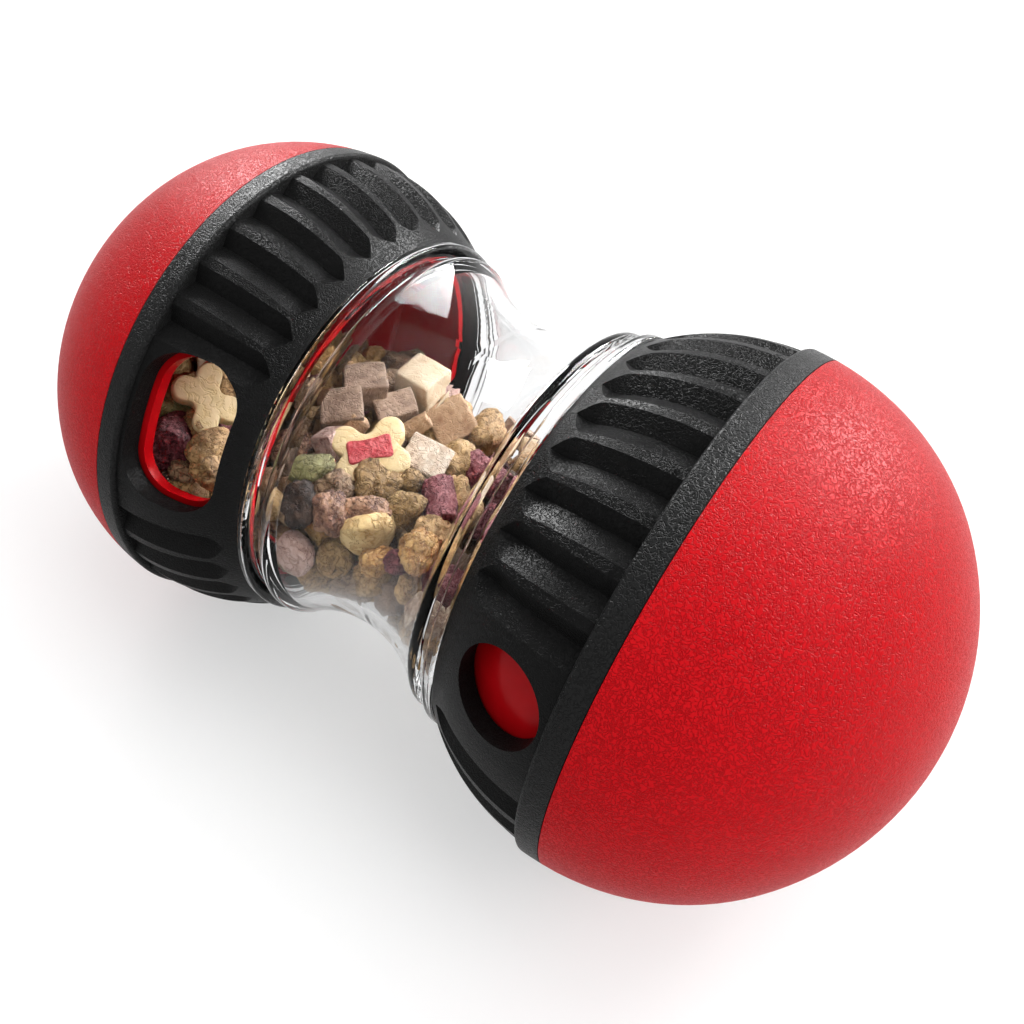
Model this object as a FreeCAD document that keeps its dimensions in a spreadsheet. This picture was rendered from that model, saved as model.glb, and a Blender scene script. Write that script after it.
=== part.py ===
"""Treat ball: a clear waisted chamber between two fluted collars, each with a domed end that turns a shutter.

Lengths are millimetres and angles are degrees. The long axis is X, with the clear waist at x = 0 and +Z up,
and the ball lies on its side. Each end is modelled pointing along +X with its treat hole at the top, then is
turned into place.
"""
import FreeCAD
import Part

import math
import os
import random

import Sketcher
from FreeCAD import Placement, Rotation, Vector

# Driving sizes, one value for each thing that can be set by itself
SIZES = {
    # overall form
    "ball_radius": 40.0,
    "half_length": 73.5,
    "dome_centre": 36.4,
    "dome_fullness": 0.356,
    # fluted collar
    "collar_length": 18.4,
    "crest_arc_radius": 28.4,
    "crest_below_band": 0.8,
    "collar_wall": 3.2,
    "spigot_length": 1.2,
    "spigot_wall": 1.3,
    # flutes in the collar
    "flute_length": 13.4,
    "flute_depth": 1.8,
    "flute_end_radius": 3.5,
    "flute_reach": 3.0,
    "flute_short_side": 3.9,
    "flute_long_side": 5.4,
    # clear chamber, in steps from the edge of the collar towards the waist
    "rim_stand": 0.4,
    "rim_width": 1.8,
    "rim_rounding": 0.55,
    "rim_groove_width": 1.3,
    "rim_groove_depth": 1.9,
    "bead_width": 1.9,
    "bead_rise": 0.66,
    "flare_step": 0.45,
    "waist_drop": 4.75,
    "chamber_wall": 2.0,
    "neck_step": 1.8,
    "neck_wall": 1.6,
    "neck_length": 2.9,
    # retaining band
    "band_width": 3.6,
    "band_lip": 0.9,
    "band_rounding": 0.6,
    # shutter sleeve
    "shutter_wall": 1.8,
    "shutter_overhang": 6.6,
    "flange_thickness": 0.8,
    "flange_height": 1.2,
    "window_margin": 0.9,
    # dome
    "dome_wall": 2.4,
    "dome_web": 2.0,
    "plug_length": 4.5,
    "plug_wall": 1.8,
    # treat holes
    "large_hole_setback": 8.0,
    "large_hole_length": 14.4,
    "large_hole_width": 23.6,
    "large_hole_corner": 6.2,
    "small_hole_setback": 7.2,
    "small_hole_diameter": 13.0,
    # treats that fill the lower part of the chamber and of the left end, each inside a ball of its size
    "treat_size": 7.2,
    "smallest_treat": 5.8,
    "kibble_thickness": 5.66,
    "kibble_face": 4.4,
    "kibble_edge": 2.2,
    "cube_side": 5.3,
    "cube_chamfer": 0.95,
    "stick_width": 5.15,
    "treat_gap": 0.1,
    # fits
    "running_gap": 0.3,
    "face_gap": 0.12,
}

FLUTE_COUNT = 36
# how far a treat hole is turned from the place straight across from a flute, in degrees
HOLE_LEAD = 2.0
# how far the pile leans towards the side of the treat holes, as a slope
PILE_SLOPE = 0.22
# rounds of sinking and pushing apart until a pile of treats lies still
PILE_ROUNDS = 240
# how far a treat sinks in one round, in millimetres: at first, and at the end when the pile comes to rest
SINK = 0.55
LAST_SINK = 0.12
# how far a shutter turns between open and closed, in degrees
SHUTTER_TURN = 60.0
# longer than any cut through a wall, in millimetres
CUT_REACH = 60.0
FULL_TURN = 360.0
# how closely a rim found on a solid must match the size asked for
MATCH = 0.01

ALONG = Vector(1, 0, 0)
UPWARD = Vector(0, 0, 1)


class End:
    """One end: its facing, how its hole and shutter are turned, how its flutes lean and how far they run."""

    def __init__(self, name, facing, hole_turn, rest_turn, lean, flutes_each_way, round_hole):
        self.name = name
        self.facing = facing
        self.hole_turn = hole_turn
        self.rest_turn = rest_turn
        self.lean = lean
        self.flutes_each_way = flutes_each_way
        self.round_hole = round_hole


ENDS = [
    End("left", 180.0, 62.4, 0.0, 1, (16, 17), round_hole=False),
    End("right", 0.0, 71.2, -SHUTTER_TURN, -1, (17, 17), round_hole=True),
]


class Pile:
    """Treats that lie in one hollow of the ball: how many, and the seeds of their places and of their turns."""

    def __init__(self, name, count, place_seed, turn_seed):
        self.name = name
        self.count = count
        self.place_seed = place_seed
        self.turn_seed = turn_seed


PILES = [Pile("chamber", 225, 4, 1), Pile("left_end", 250, 7, 2)]
# shares of round kibble, soft cubes and sticks in the mix
MIX = {"kibble": 0.5, "cubes": 0.35, "sticks": 0.15}


def derived(size):
    """Sizes that follow from the driving ones."""
    out = {}
    out["collar_start"] = size["dome_centre"] - size["collar_length"]
    out["shutter_end"] = size["dome_centre"] + size["shutter_overhang"]
    out["large_hole_centre"] = size["dome_centre"] - size["large_hole_setback"]
    out["small_hole_centre"] = size["dome_centre"] - size["small_hole_setback"]
    # bowed walls of the collar and of the shutter inside it, all about one centre
    out["crest_top"] = size["ball_radius"] - size["crest_below_band"]
    out["crest_centre_height"] = out["crest_top"] - size["crest_arc_radius"]
    out["bore_arc_radius"] = size["crest_arc_radius"] - size["collar_wall"]
    out["shutter_arc_radius"] = out["bore_arc_radius"] - size["running_gap"]
    out["shutter_inner_arc"] = out["shutter_arc_radius"] - size["shutter_wall"]
    out["collar_bore"] = out["crest_top"] - size["collar_wall"]
    collar_edge = on_circle(out["collar_start"], size["dome_centre"], out["crest_centre_height"],
                            size["crest_arc_radius"])
    # chamber, in steps from the collar's edge
    out["rim_radius"] = collar_edge + size["rim_stand"]
    out["rim_start"] = out["collar_start"] - size["rim_width"]
    out["rim_groove_radius"] = out["rim_radius"] - size["rim_groove_depth"]
    out["rim_groove_start"] = out["rim_start"] - size["rim_groove_width"]
    out["flare_end"] = out["rim_groove_start"] - size["bead_width"]
    out["flare_radius"] = out["rim_groove_radius"] + size["flare_step"]
    half_bead = math.hypot(size["bead_width"], size["flare_step"]) / 2.0
    out["bead_radius"] = (half_bead**2 + size["bead_rise"] ** 2) / (2.0 * size["bead_rise"])
    out["waist_radius"] = out["flare_radius"] - size["waist_drop"]
    out["waist_arc_radius"] = (size["waist_drop"] ** 2 + out["flare_end"] ** 2) / (2.0 * size["waist_drop"])
    out["waist_centre_height"] = out["waist_radius"] + out["waist_arc_radius"]
    out["waist_inner_arc"] = out["waist_arc_radius"] + size["chamber_wall"]
    out["neck_radius"] = collar_edge - size["neck_step"]
    out["neck_bore_radius"] = out["neck_radius"] - size["neck_wall"]
    # dome of two tangent arcs: a shoulder that is widest at the dome's centre, and a crown square to the axis
    reach = size["half_length"] - size["dome_centre"]
    out["shoulder_height"] = (size["ball_radius"] - reach) / (1.0 - size["dome_fullness"])
    out["shoulder_radius"] = size["ball_radius"] - out["shoulder_height"]
    out["crown_radius"] = (reach**2 + out["shoulder_height"] ** 2 - out["shoulder_radius"] ** 2) / (
        2.0 * (reach - out["shoulder_radius"])
    )
    # hollows that hold treats
    out["shutter_start"] = out["collar_start"] + size["neck_length"] + size["running_gap"]
    out["sleeve_inner_radius"] = out["collar_bore"] - size["running_gap"] - size["shutter_wall"]
    out["plug_inner_radius"] = out["sleeve_inner_radius"] - size["plug_wall"]
    # treats
    ball = size["treat_size"] / 2.0
    out["kibble_half_thickness"] = size["kibble_thickness"] / 2.0
    out["kibble_face_radius"] = size["kibble_face"] / 2.0
    out["kibble_half_edge"] = size["kibble_edge"] / 2.0
    out["kibble_radius"] = math.sqrt(ball**2 - out["kibble_half_edge"] ** 2)
    out["stick_length"] = math.sqrt(size["treat_size"] ** 2 - size["stick_width"] ** 2)
    # flute floor, and the round end where it rises out of the collar
    out["flute_floor_radius"] = size["crest_arc_radius"] - size["flute_depth"]
    turn = math.asin(size["flute_length"] / out["flute_floor_radius"])
    out["flute_turn"] = math.degrees(turn)
    to_end = out["flute_floor_radius"] + size["flute_end_radius"]
    out["flute_end_x"] = size["dome_centre"] - to_end * math.sin(turn)
    out["flute_end_height"] = out["crest_centre_height"] + to_end * math.cos(turn)
    return out


def on_circle(x, centre_x, centre_height, radius):
    """Height of the upper half of a circle above x."""
    return centre_height + math.sqrt(radius**2 - (x - centre_x) ** 2)


def make_sheet(doc):
    sheet = doc.addObject("Spreadsheet::Sheet", "Sizes")
    for row, (alias, number) in enumerate(VALUE.items(), start=1):
        sheet.set("A%d" % row, alias)
        sheet.set("B%d" % row, repr(number))
        sheet.setAlias("B%d" % row, alias)
    doc.recompute()
    return sheet


VALUE = dict(SIZES)
VALUE.update(derived(SIZES))


def total(terms):
    """Number for a sum of named sizes; a name that starts with a minus sign is taken away."""
    result = 0.0
    for term in terms:
        result += -VALUE[term[1:]] if term.startswith("-") else VALUE[term]
    return result


def formula(terms):
    """The same sum as an expression on the sheet."""
    text = ""
    for term in terms:
        text += " - Sizes." + term[1:] if term.startswith("-") else " + Sizes." + term
    return text[3:] if text.startswith(" + ") else text


class Profile:
    """A closed sketch outline of lines and arcs whose corners and arcs are tied to the sheet."""

    def __init__(self, body, name, plane="XZ_Plane"):
        self.sketch = body.newObject("Sketcher::SketchObject", name)
        self.sketch.AttachmentSupport = [(origin_feature(body, plane), "")]
        self.sketch.MapMode = "FlatFace"
        self.corners = []
        self.edges = []
        self.count = 0

    def tie(self, kind, *where, terms):
        """Adds a dimension and binds it to a sum of named sizes."""
        self.count += 1
        label = "d%d" % self.count
        index = self.sketch.addConstraint(Sketcher.Constraint(kind, *where, total(terms)))
        self.sketch.renameConstraint(index, label)
        self.sketch.setExpression("Constraints." + label, formula(terms))

    def place(self, geometry, spot, across, up):
        """Ties a point to its distances from the sketch origin; None leaves a distance to the geometry."""
        if across == []:
            self.sketch.addConstraint(Sketcher.Constraint("PointOnObject", geometry, spot, -2))
        elif across:
            self.tie("DistanceX", -1, 1, geometry, spot, terms=across)
        if up == []:
            self.sketch.addConstraint(Sketcher.Constraint("PointOnObject", geometry, spot, -1))
        elif up:
            self.tie("DistanceY", -1, 1, geometry, spot, terms=up)

    def corner(self, across, up, guess=None, smooth=False):
        """A corner given by sums of names; guess holds the numbers for a distance that is None.

        A smooth corner joins two arcs that are tangent there.
        """
        spot_x = total(across) if across is not None else guess[0]
        spot_y = total(up) if up is not None else guess[1]
        self.corners.append((spot_x, spot_y, across, up, smooth))
        return self

    def line(self):
        self.edges.append(None)
        return self

    def arc(self, centre_across, centre_up, radius, over=True):
        """An arc about a centre given by names, to the next corner."""
        self.edges.append(("centre", centre_across, centre_up, radius, over))
        return self

    def free_arc(self, centre, radius, like=None, over=True):
        """An arc whose radius follows from its corners: centre and radius are numbers to start from.

        Its centre is on the long axis, or shared with an earlier arc.
        """
        self.edges.append(("free", centre, like, radius, over))
        return self

    def bulge(self, radius):
        """An outward arc of a named radius, to the next corner."""
        self.edges.append(("bulge", None, None, radius, True))
        return self

    def close(self):
        for index, edge in enumerate(self.edges):
            start = Vector(self.corners[index][0], self.corners[index][1], 0)
            nxt = self.corners[(index + 1) % len(self.corners)]
            end = Vector(nxt[0], nxt[1], 0)
            if edge is None:
                self.sketch.addGeometry(Part.LineSegment(start, end), False)
            else:
                self.sketch.addGeometry(arc_between(start, end, edge), False)
        for index, edge in enumerate(self.edges):
            here, there = self.spots(index)
            after = (index + 1) % len(self.edges)
            next_start = self.spots(after)[0]
            join = "Tangent" if self.corners[after][4] else "Coincident"
            self.sketch.addConstraint(Sketcher.Constraint(join, index, there, after, next_start))
            across, up = self.corners[index][2], self.corners[index][3]
            self.place(index, here, across, up)
            if edge is None:
                continue
            if edge[0] == "free":
                self.share_centre(index, edge[2])
                continue
            if edge[0] == "centre":
                self.place(index, 3, edge[1], edge[2])
            self.tie("Radius", index, terms=edge[3])
        return self.sketch

    def share_centre(self, index, like):
        if like is None:
            self.place(index, 3, None, [])
        else:
            self.sketch.addConstraint(Sketcher.Constraint("Coincident", index, 3, like, 3))

    def spots(self, index):
        """Which end of an edge's geometry is its first corner: arcs are stored anticlockwise."""
        edge = self.edges[index]
        if edge is None:
            return 1, 2
        start = self.corners[index]
        nxt = self.corners[(index + 1) % len(self.corners)]
        forward = nxt[0] > start[0]
        return (2, 1) if forward == edge[4] else (1, 2)


def arc_between(start, end, edge):
    """Arc from start to end, about a named centre or bulging outwards with a named radius."""
    kind, centre_across, centre_up, radius_terms, over = edge
    radius = radius_terms if kind == "free" else total(radius_terms)
    if kind == "centre":
        centre = Vector(total(centre_across), total(centre_up), 0)
    elif kind == "free":
        centre = Vector(centre_across[0], centre_across[1], 0)
    else:
        middle = (start + end) * 0.5
        half = (end - start).Length / 2.0
        down = (end - start).cross(UPWARD).normalize()
        if down.y > 0:
            down = -down
        centre = middle + down * math.sqrt(radius**2 - half**2)
    angles = sorted(math.atan2(p.y - centre.y, p.x - centre.x) for p in (start, end))
    return Part.ArcOfCircle(Part.Circle(centre, UPWARD, radius), angles[0], angles[1])


def origin_feature(body, role):
    return next(item for item in body.Origin.OriginFeatures if item.Role == role)


def new_body(doc, label):
    body = doc.addObject("PartDesign::Body", label)
    body.Label = label
    return body


def revolve(body, sketch, name):
    """Turns a profile a full turn about the long axis."""
    turned = body.newObject("PartDesign::Revolution", name)
    turned.Profile = sketch
    turned.ReferenceAxis = (sketch, ["H_Axis"])
    turned.Angle = FULL_TURN
    sketch.Document.recompute()
    return turned


def rim_edge(shape, x, radius):
    """Name of the full circle about the long axis at a place and radius."""
    for index, edge in enumerate(shape.Edges, start=1):
        curve = edge.Curve
        if isinstance(curve, Part.Circle) and abs(curve.Radius - radius) < MATCH:
            if abs(curve.Center.x - x) < MATCH:
                return "Edge%d" % index
    raise ValueError("no rim edge at x %.2f, radius %.2f" % (x, radius))


def round_edges(body, base, spots, alias, name):
    """Rounds the named rims by one size of the sheet."""
    rounded = body.newObject("PartDesign::Fillet", name)
    rounded.Base = (base, [rim_edge(base.Shape, x, radius) for x, radius in spots])
    rounded.Radius = VALUE[alias]
    rounded.setExpression("Radius", "Sizes." + alias)
    body.Document.recompute()
    return rounded


def make_chamber(doc):
    """Clear waisted chamber: half of it is revolved, rounded at its rim and mirrored at the waist."""
    body = new_body(doc, "clear_chamber")
    waist_centre = ([], ["waist_centre_height"])
    drop = VALUE["waist_centre_height"] - VALUE["neck_bore_radius"]
    bore_meet = math.sqrt(VALUE["waist_inner_arc"] ** 2 - drop**2)
    neck_end = ["collar_start", "neck_length"]
    bore_corner = (bore_meet, 0)
    outline = Profile(body, "chamber_outline")
    outline.corner([], None, (0, VALUE["waist_radius"])).arc(*waist_centre, ["waist_arc_radius"], over=False)
    outline.corner(["flare_end"], None, (0, VALUE["flare_radius"])).bulge(["bead_radius"])
    outline.corner(["rim_groove_start"], ["rim_groove_radius"]).line()
    outline.corner(["rim_start"], ["rim_groove_radius"]).line()
    outline.corner(["rim_start"], ["rim_radius"]).line()
    outline.corner(["collar_start"], ["rim_radius"]).line()
    outline.corner(["collar_start"], ["neck_radius"]).line()
    outline.corner(neck_end, ["neck_radius"]).line()
    outline.corner(neck_end, ["neck_bore_radius"]).line()
    outline.corner(None, ["neck_bore_radius"], bore_corner)
    outline.arc(*waist_centre, ["waist_inner_arc"], over=False)
    outline.corner([], None, (0, VALUE["waist_radius"] - VALUE["chamber_wall"])).line()
    half = revolve(body, outline.close(), "chamber_half")
    rims = [(VALUE["rim_start"], VALUE["rim_radius"]), (VALUE["collar_start"], VALUE["rim_radius"])]
    rounded = round_edges(body, half, rims, "rim_rounding", "rim_rounding_edges")
    mirrored = body.newObject("PartDesign::Mirrored", "chamber_mirrored")
    mirrored.Originals = [half, rounded]
    mirrored.MirrorPlane = (origin_feature(body, "YZ_Plane"), [""])
    body.Tip = mirrored
    doc.recompute()
    return body


def make_collar(doc, end):
    """Fluted collar: a bowed ring with a spigot for its band, radiating flutes and one treat hole."""
    body = new_body(doc, "collar_" + end.name)
    crest_centre = (["dome_centre"], ["crest_centre_height"])
    start_height = on_circle(VALUE["collar_start"], VALUE["dome_centre"], VALUE["crest_centre_height"],
                             VALUE["crest_arc_radius"])
    neck_bore = ["neck_radius", "running_gap"]
    drop = total(neck_bore) - VALUE["crest_centre_height"]
    bore_meet = VALUE["dome_centre"] - math.sqrt(VALUE["bore_arc_radius"] ** 2 - drop**2)
    spigot_end = ["dome_centre", "spigot_length"]
    spigot_radius = ["collar_bore", "spigot_wall"]
    outline = Profile(body, "collar_outline_" + end.name)
    outline.corner(["collar_start"], neck_bore).line()
    outline.corner(["collar_start"], None, (0, start_height)).arc(*crest_centre, ["crest_arc_radius"])
    outline.corner(["dome_centre"], None, (0, VALUE["crest_top"])).line()
    outline.corner(["dome_centre"], spigot_radius).line()
    outline.corner(spigot_end, spigot_radius).line()
    outline.corner(spigot_end, ["collar_bore"]).line()
    outline.corner(["dome_centre"], None, (0, VALUE["collar_bore"])).arc(*crest_centre, ["bore_arc_radius"])
    outline.corner(None, neck_bore, (bore_meet, 0)).line()
    ring = revolve(body, outline.close(), "collar_ring_" + end.name)
    plain_volume = ring.Shape.Volume
    flute = cut_flute(body, end)
    fluted = spread_flutes(body, flute, end)
    hole = cut_hole(body, end, "treat_hole_", [], -HOLE_LEAD)
    if not hole.Shape.Volume < fluted.Shape.Volume < flute[0].Shape.Volume < plain_volume:
        raise ValueError("flutes or treat hole of the %s collar cut nothing" % end.name)
    return body


def cut_flute(body, end):
    """One flute under the collar: a leaning V along the bowed wall, and a round end where it rises out."""
    floor = flute_section(body, "flute_section_" + end.name, end.lean, -1)
    floor.setExpression("AttachmentOffset.Base.y", "-Sizes.crest_centre_height")
    floor.setExpression("AttachmentOffset.Base.z", "Sizes.dome_centre")
    along = groove(body, floor, "flute_" + end.name)
    along.Angle = VALUE["flute_turn"]
    along.setExpression("Angle", "Sizes.flute_turn")
    body.Document.recompute()
    tip = flute_section(body, "flute_end_section_" + end.name, end.lean, 1)
    tip.setExpression("AttachmentOffset.Base.y", "-Sizes.flute_end_height")
    tip.setExpression("AttachmentOffset.Base.z", "Sizes.flute_end_x")
    around = groove(body, tip, "flute_end_" + end.name)
    around.Angle = FULL_TURN
    body.Document.recompute()
    return [along, around]


def flute_section(body, name, lean, side):
    """Triangle whose crease is the flute's floor: below its turning axis, or above it at the round end."""
    sketch = body.newObject("Sketcher::SketchObject", name)
    sketch.AttachmentSupport = [(origin_feature(body, "YZ_Plane"), "")]
    sketch.MapMode = "FlatFace"
    radius = "flute_floor_radius" if side < 0 else "flute_end_radius"
    floor = side * VALUE[radius]
    brim = floor - VALUE["flute_reach"]
    short_brim = Vector(lean * VALUE["flute_short_side"], brim, 0)
    long_brim = Vector(-lean * VALUE["flute_long_side"], brim, 0)
    loop = [Vector(0, floor, 0), short_brim, long_brim]
    for index, spot in enumerate(loop):
        sketch.addGeometry(Part.LineSegment(spot, loop[(index + 1) % len(loop)]), False)
    for index in range(len(loop)):
        sketch.addConstraint(Sketcher.Constraint("Coincident", index, 2, (index + 1) % len(loop), 1))
    sketch.addConstraint(Sketcher.Constraint("PointOnObject", 0, 1, -2))
    sketch.addConstraint(Sketcher.Constraint("Horizontal", 1))
    ties = [
        ("DistanceY", [(0, 1), (-1, 1)][::-side], radius),
        ("DistanceY", [(1, 1), (0, 1)], "flute_reach"),
        ("DistanceX", [(0, 1), (1, 1)][::lean], "flute_short_side"),
        ("DistanceX", [(2, 1), (0, 1)][::lean], "flute_long_side"),
    ]
    for kind, ((first, first_end), (second, second_end)), alias in ties:
        where = (first, first_end, second, second_end)
        bind(sketch, kind, where, alias, VALUE[alias], "Sizes." + alias)
    return sketch


def groove(body, sketch, name):
    """Cuts a section turned about its sketch's horizontal axis."""
    cut = body.newObject("PartDesign::Groove", name)
    cut.Profile = sketch
    cut.ReferenceAxis = (sketch, ["H_Axis"])
    cut.Reversed = False
    return cut


def spread_flutes(body, flute, end):
    """Repeats the flute both ways round from the bottom, up to the plain land round the treat hole."""
    pitch = FULL_TURN / FLUTE_COUNT
    for backwards, count in zip((False, True), end.flutes_each_way):
        pattern = body.newObject("PartDesign::PolarPattern", "flutes_%s_%d" % (end.name, backwards))
        pattern.Originals = flute
        pattern.Axis = (origin_feature(body, "X_Axis"), [""])
        pattern.Angle = pitch * (count - 1)
        pattern.Occurrences = count
        pattern.Reversed = backwards
        body.Tip = pattern
        body.Document.recompute()
    return pattern


def cut_hole(body, end, name, inset, turn):
    """Cuts the end's treat hole through a wall, narrowed all round by the inset and turned from the top."""
    sketch = body.newObject("Sketcher::SketchObject", name + "outline_" + end.name)
    sketch.AttachmentSupport = [(origin_feature(body, "XY_Plane"), "")]
    sketch.MapMode = "FlatFace"
    sketch.AttachmentOffset = Placement(Vector(0, 0, 0), Rotation(ALONG, turn))
    if end.round_hole:
        draw_round_hole(sketch, inset)
    else:
        draw_large_hole(sketch, inset)
    hole = body.newObject("PartDesign::Pocket", name + end.name)
    hole.Profile = sketch
    hole.Type = "Length"
    hole.Length = CUT_REACH
    hole.Reversed = True
    body.Document.recompute()
    return hole


def bind(sketch, kind, where, name, number, expression):
    index = sketch.addConstraint(Sketcher.Constraint(kind, *where, number))
    sketch.renameConstraint(index, name)
    sketch.setExpression("Constraints." + name, expression)


def draw_round_hole(sketch, inset):
    radius = VALUE["small_hole_diameter"] / 2.0 - total(inset)
    centre = Vector(VALUE["small_hole_centre"], 0, 0)
    sketch.addGeometry(Part.Circle(centre, UPWARD, radius), False)
    sketch.addConstraint(Sketcher.Constraint("PointOnObject", 0, 3, -1))
    bind(sketch, "DistanceX", (-1, 1, 0, 3), "centre", centre.x, "Sizes.small_hole_centre")
    bind(sketch, "Radius", (0,), "radius", radius, "Sizes.small_hole_diameter / 2" + minus(inset))


def minus(terms):
    return " - " + formula(terms) if terms else ""


def draw_large_hole(sketch, inset):
    """A rectangle with broad round corners: four sides and four corner arcs about the hole's centre."""
    narrow = total(inset)
    length = VALUE["large_hole_length"] / 2.0 - narrow
    width = VALUE["large_hole_width"] / 2.0 - narrow
    corner = VALUE["large_hole_corner"] - narrow
    middle = VALUE["large_hole_centre"]
    inner_x = length - corner
    inner_y = width - corner
    quarter = math.pi / 2.0
    arc_centres = [(inner_x, inner_y), (-inner_x, inner_y), (-inner_x, -inner_y), (inner_x, -inner_y)]
    for index, (offset_x, offset_y) in enumerate(arc_centres):
        circle = Part.Circle(Vector(middle + offset_x, offset_y, 0), UPWARD, corner)
        sketch.addGeometry(Part.ArcOfCircle(circle, index * quarter, (index + 1) * quarter), False)
    sides = [
        (Vector(middle + inner_x, width, 0), Vector(middle - inner_x, width, 0)),
        (Vector(middle - length, inner_y, 0), Vector(middle - length, -inner_y, 0)),
        (Vector(middle - inner_x, -width, 0), Vector(middle + inner_x, -width, 0)),
        (Vector(middle + length, -inner_y, 0), Vector(middle + length, inner_y, 0)),
    ]
    for start, stop in sides:
        sketch.addGeometry(Part.LineSegment(start, stop), False)
    for index in range(4):
        side = 4 + index
        sketch.addConstraint(Sketcher.Constraint("Tangent", index, 2, side, 1))
        sketch.addConstraint(Sketcher.Constraint("Tangent", side, 2, (index + 1) % 4, 1))
        if index:
            sketch.addConstraint(Sketcher.Constraint("Equal", 0, index))
    sketch.addConstraint(Sketcher.Constraint("Horizontal", 4))
    sketch.addConstraint(Sketcher.Constraint("Vertical", 5))
    sketch.addConstraint(Sketcher.Constraint("Horizontal", 6))
    sketch.addConstraint(Sketcher.Constraint("Symmetric", 0, 3, 3, 3, -1))
    narrow_text = minus(inset)
    half_length = "Sizes.large_hole_length / 2" + narrow_text
    bind(sketch, "Radius", (0,), "corner", corner, "Sizes.large_hole_corner" + narrow_text)
    bind(sketch, "DistanceY", (-1, 1, 4, 1), "half_width", width, "Sizes.large_hole_width / 2" + narrow_text)
    far_side = "Sizes.large_hole_centre + " + half_length
    bind(sketch, "DistanceX", (-1, 1, 7, 1), "far_side", middle + length, far_side)
    bind(sketch, "DistanceX", (-1, 1, 5, 1), "near_side", middle - length,
         "Sizes.large_hole_centre - (" + half_length + ")")


def make_band(doc, end):
    """Retaining band: a ring pressed on the collar's spigot, with a lip that holds the shutter's flange."""
    body = new_body(doc, "band_" + end.name)
    shoulder_centre = (["dome_centre"], ["shoulder_height"])
    band_end = ["dome_centre", "band_width"]
    end_height = on_circle(total(band_end), VALUE["dome_centre"], VALUE["shoulder_height"],
                           VALUE["shoulder_radius"])
    lip_start = ["dome_centre", "band_width", "-band_lip"]
    bore = ["collar_bore", "spigot_wall"]
    outline = Profile(body, "band_outline_" + end.name)
    outline.corner(["dome_centre"], bore).line()
    outline.corner(["dome_centre"], None, (0, VALUE["ball_radius"]))
    outline.arc(*shoulder_centre, ["shoulder_radius"])
    outline.corner(band_end, None, (0, end_height)).line()
    outline.corner(band_end, ["collar_bore"]).line()
    outline.corner(lip_start, ["collar_bore"]).line()
    outline.corner(lip_start, bore).line()
    ring = revolve(body, outline.close(), "band_ring_" + end.name)
    outer = [(VALUE["dome_centre"], VALUE["ball_radius"])]
    round_edges(body, ring, outer, "band_rounding", "band_rounding_" + end.name)
    return body


def make_shutter(doc, end):
    """Shutter sleeve: it follows the collar's bore, is held by its flange, and carries the window."""
    body = new_body(doc, "shutter_" + end.name)
    centre = (["dome_centre"], ["crest_centre_height"])
    start = ["collar_start", "neck_length", "running_gap"]
    start_height = on_circle(total(start), VALUE["dome_centre"], VALUE["crest_centre_height"],
                             VALUE["shutter_arc_radius"])
    inner_start = on_circle(total(start), VALUE["dome_centre"], VALUE["crest_centre_height"],
                            VALUE["shutter_inner_arc"])
    outer = ["collar_bore", "-running_gap"]
    inner = ["collar_bore", "-running_gap", "-shutter_wall"]
    flange_start = ["dome_centre", "spigot_length", "running_gap"]
    flange_end = flange_start + ["flange_thickness"]
    flange_radius = outer + ["flange_height"]
    outline = Profile(body, "shutter_outline_" + end.name)
    outline.corner(start, None, (0, start_height)).arc(*centre, ["shutter_arc_radius"])
    outline.corner(["dome_centre"], None, (0, total(outer))).line()
    outline.corner(flange_start, outer).line()
    outline.corner(flange_start, flange_radius).line()
    outline.corner(flange_end, flange_radius).line()
    outline.corner(flange_end, outer).line()
    outline.corner(["shutter_end"], outer).line()
    outline.corner(["shutter_end"], inner).line()
    outline.corner(["dome_centre"], None, (0, total(inner))).arc(*centre, ["shutter_inner_arc"])
    outline.corner(start, None, (0, inner_start)).line()
    sleeve = revolve(body, outline.close(), "shutter_sleeve_" + end.name)
    window = cut_hole(body, end, "window_", ["window_margin"], 0.0)
    if not window.Shape.Volume < sleeve.Shape.Volume:
        raise ValueError("the window of the %s shutter cuts nothing" % end.name)
    return body


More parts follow.
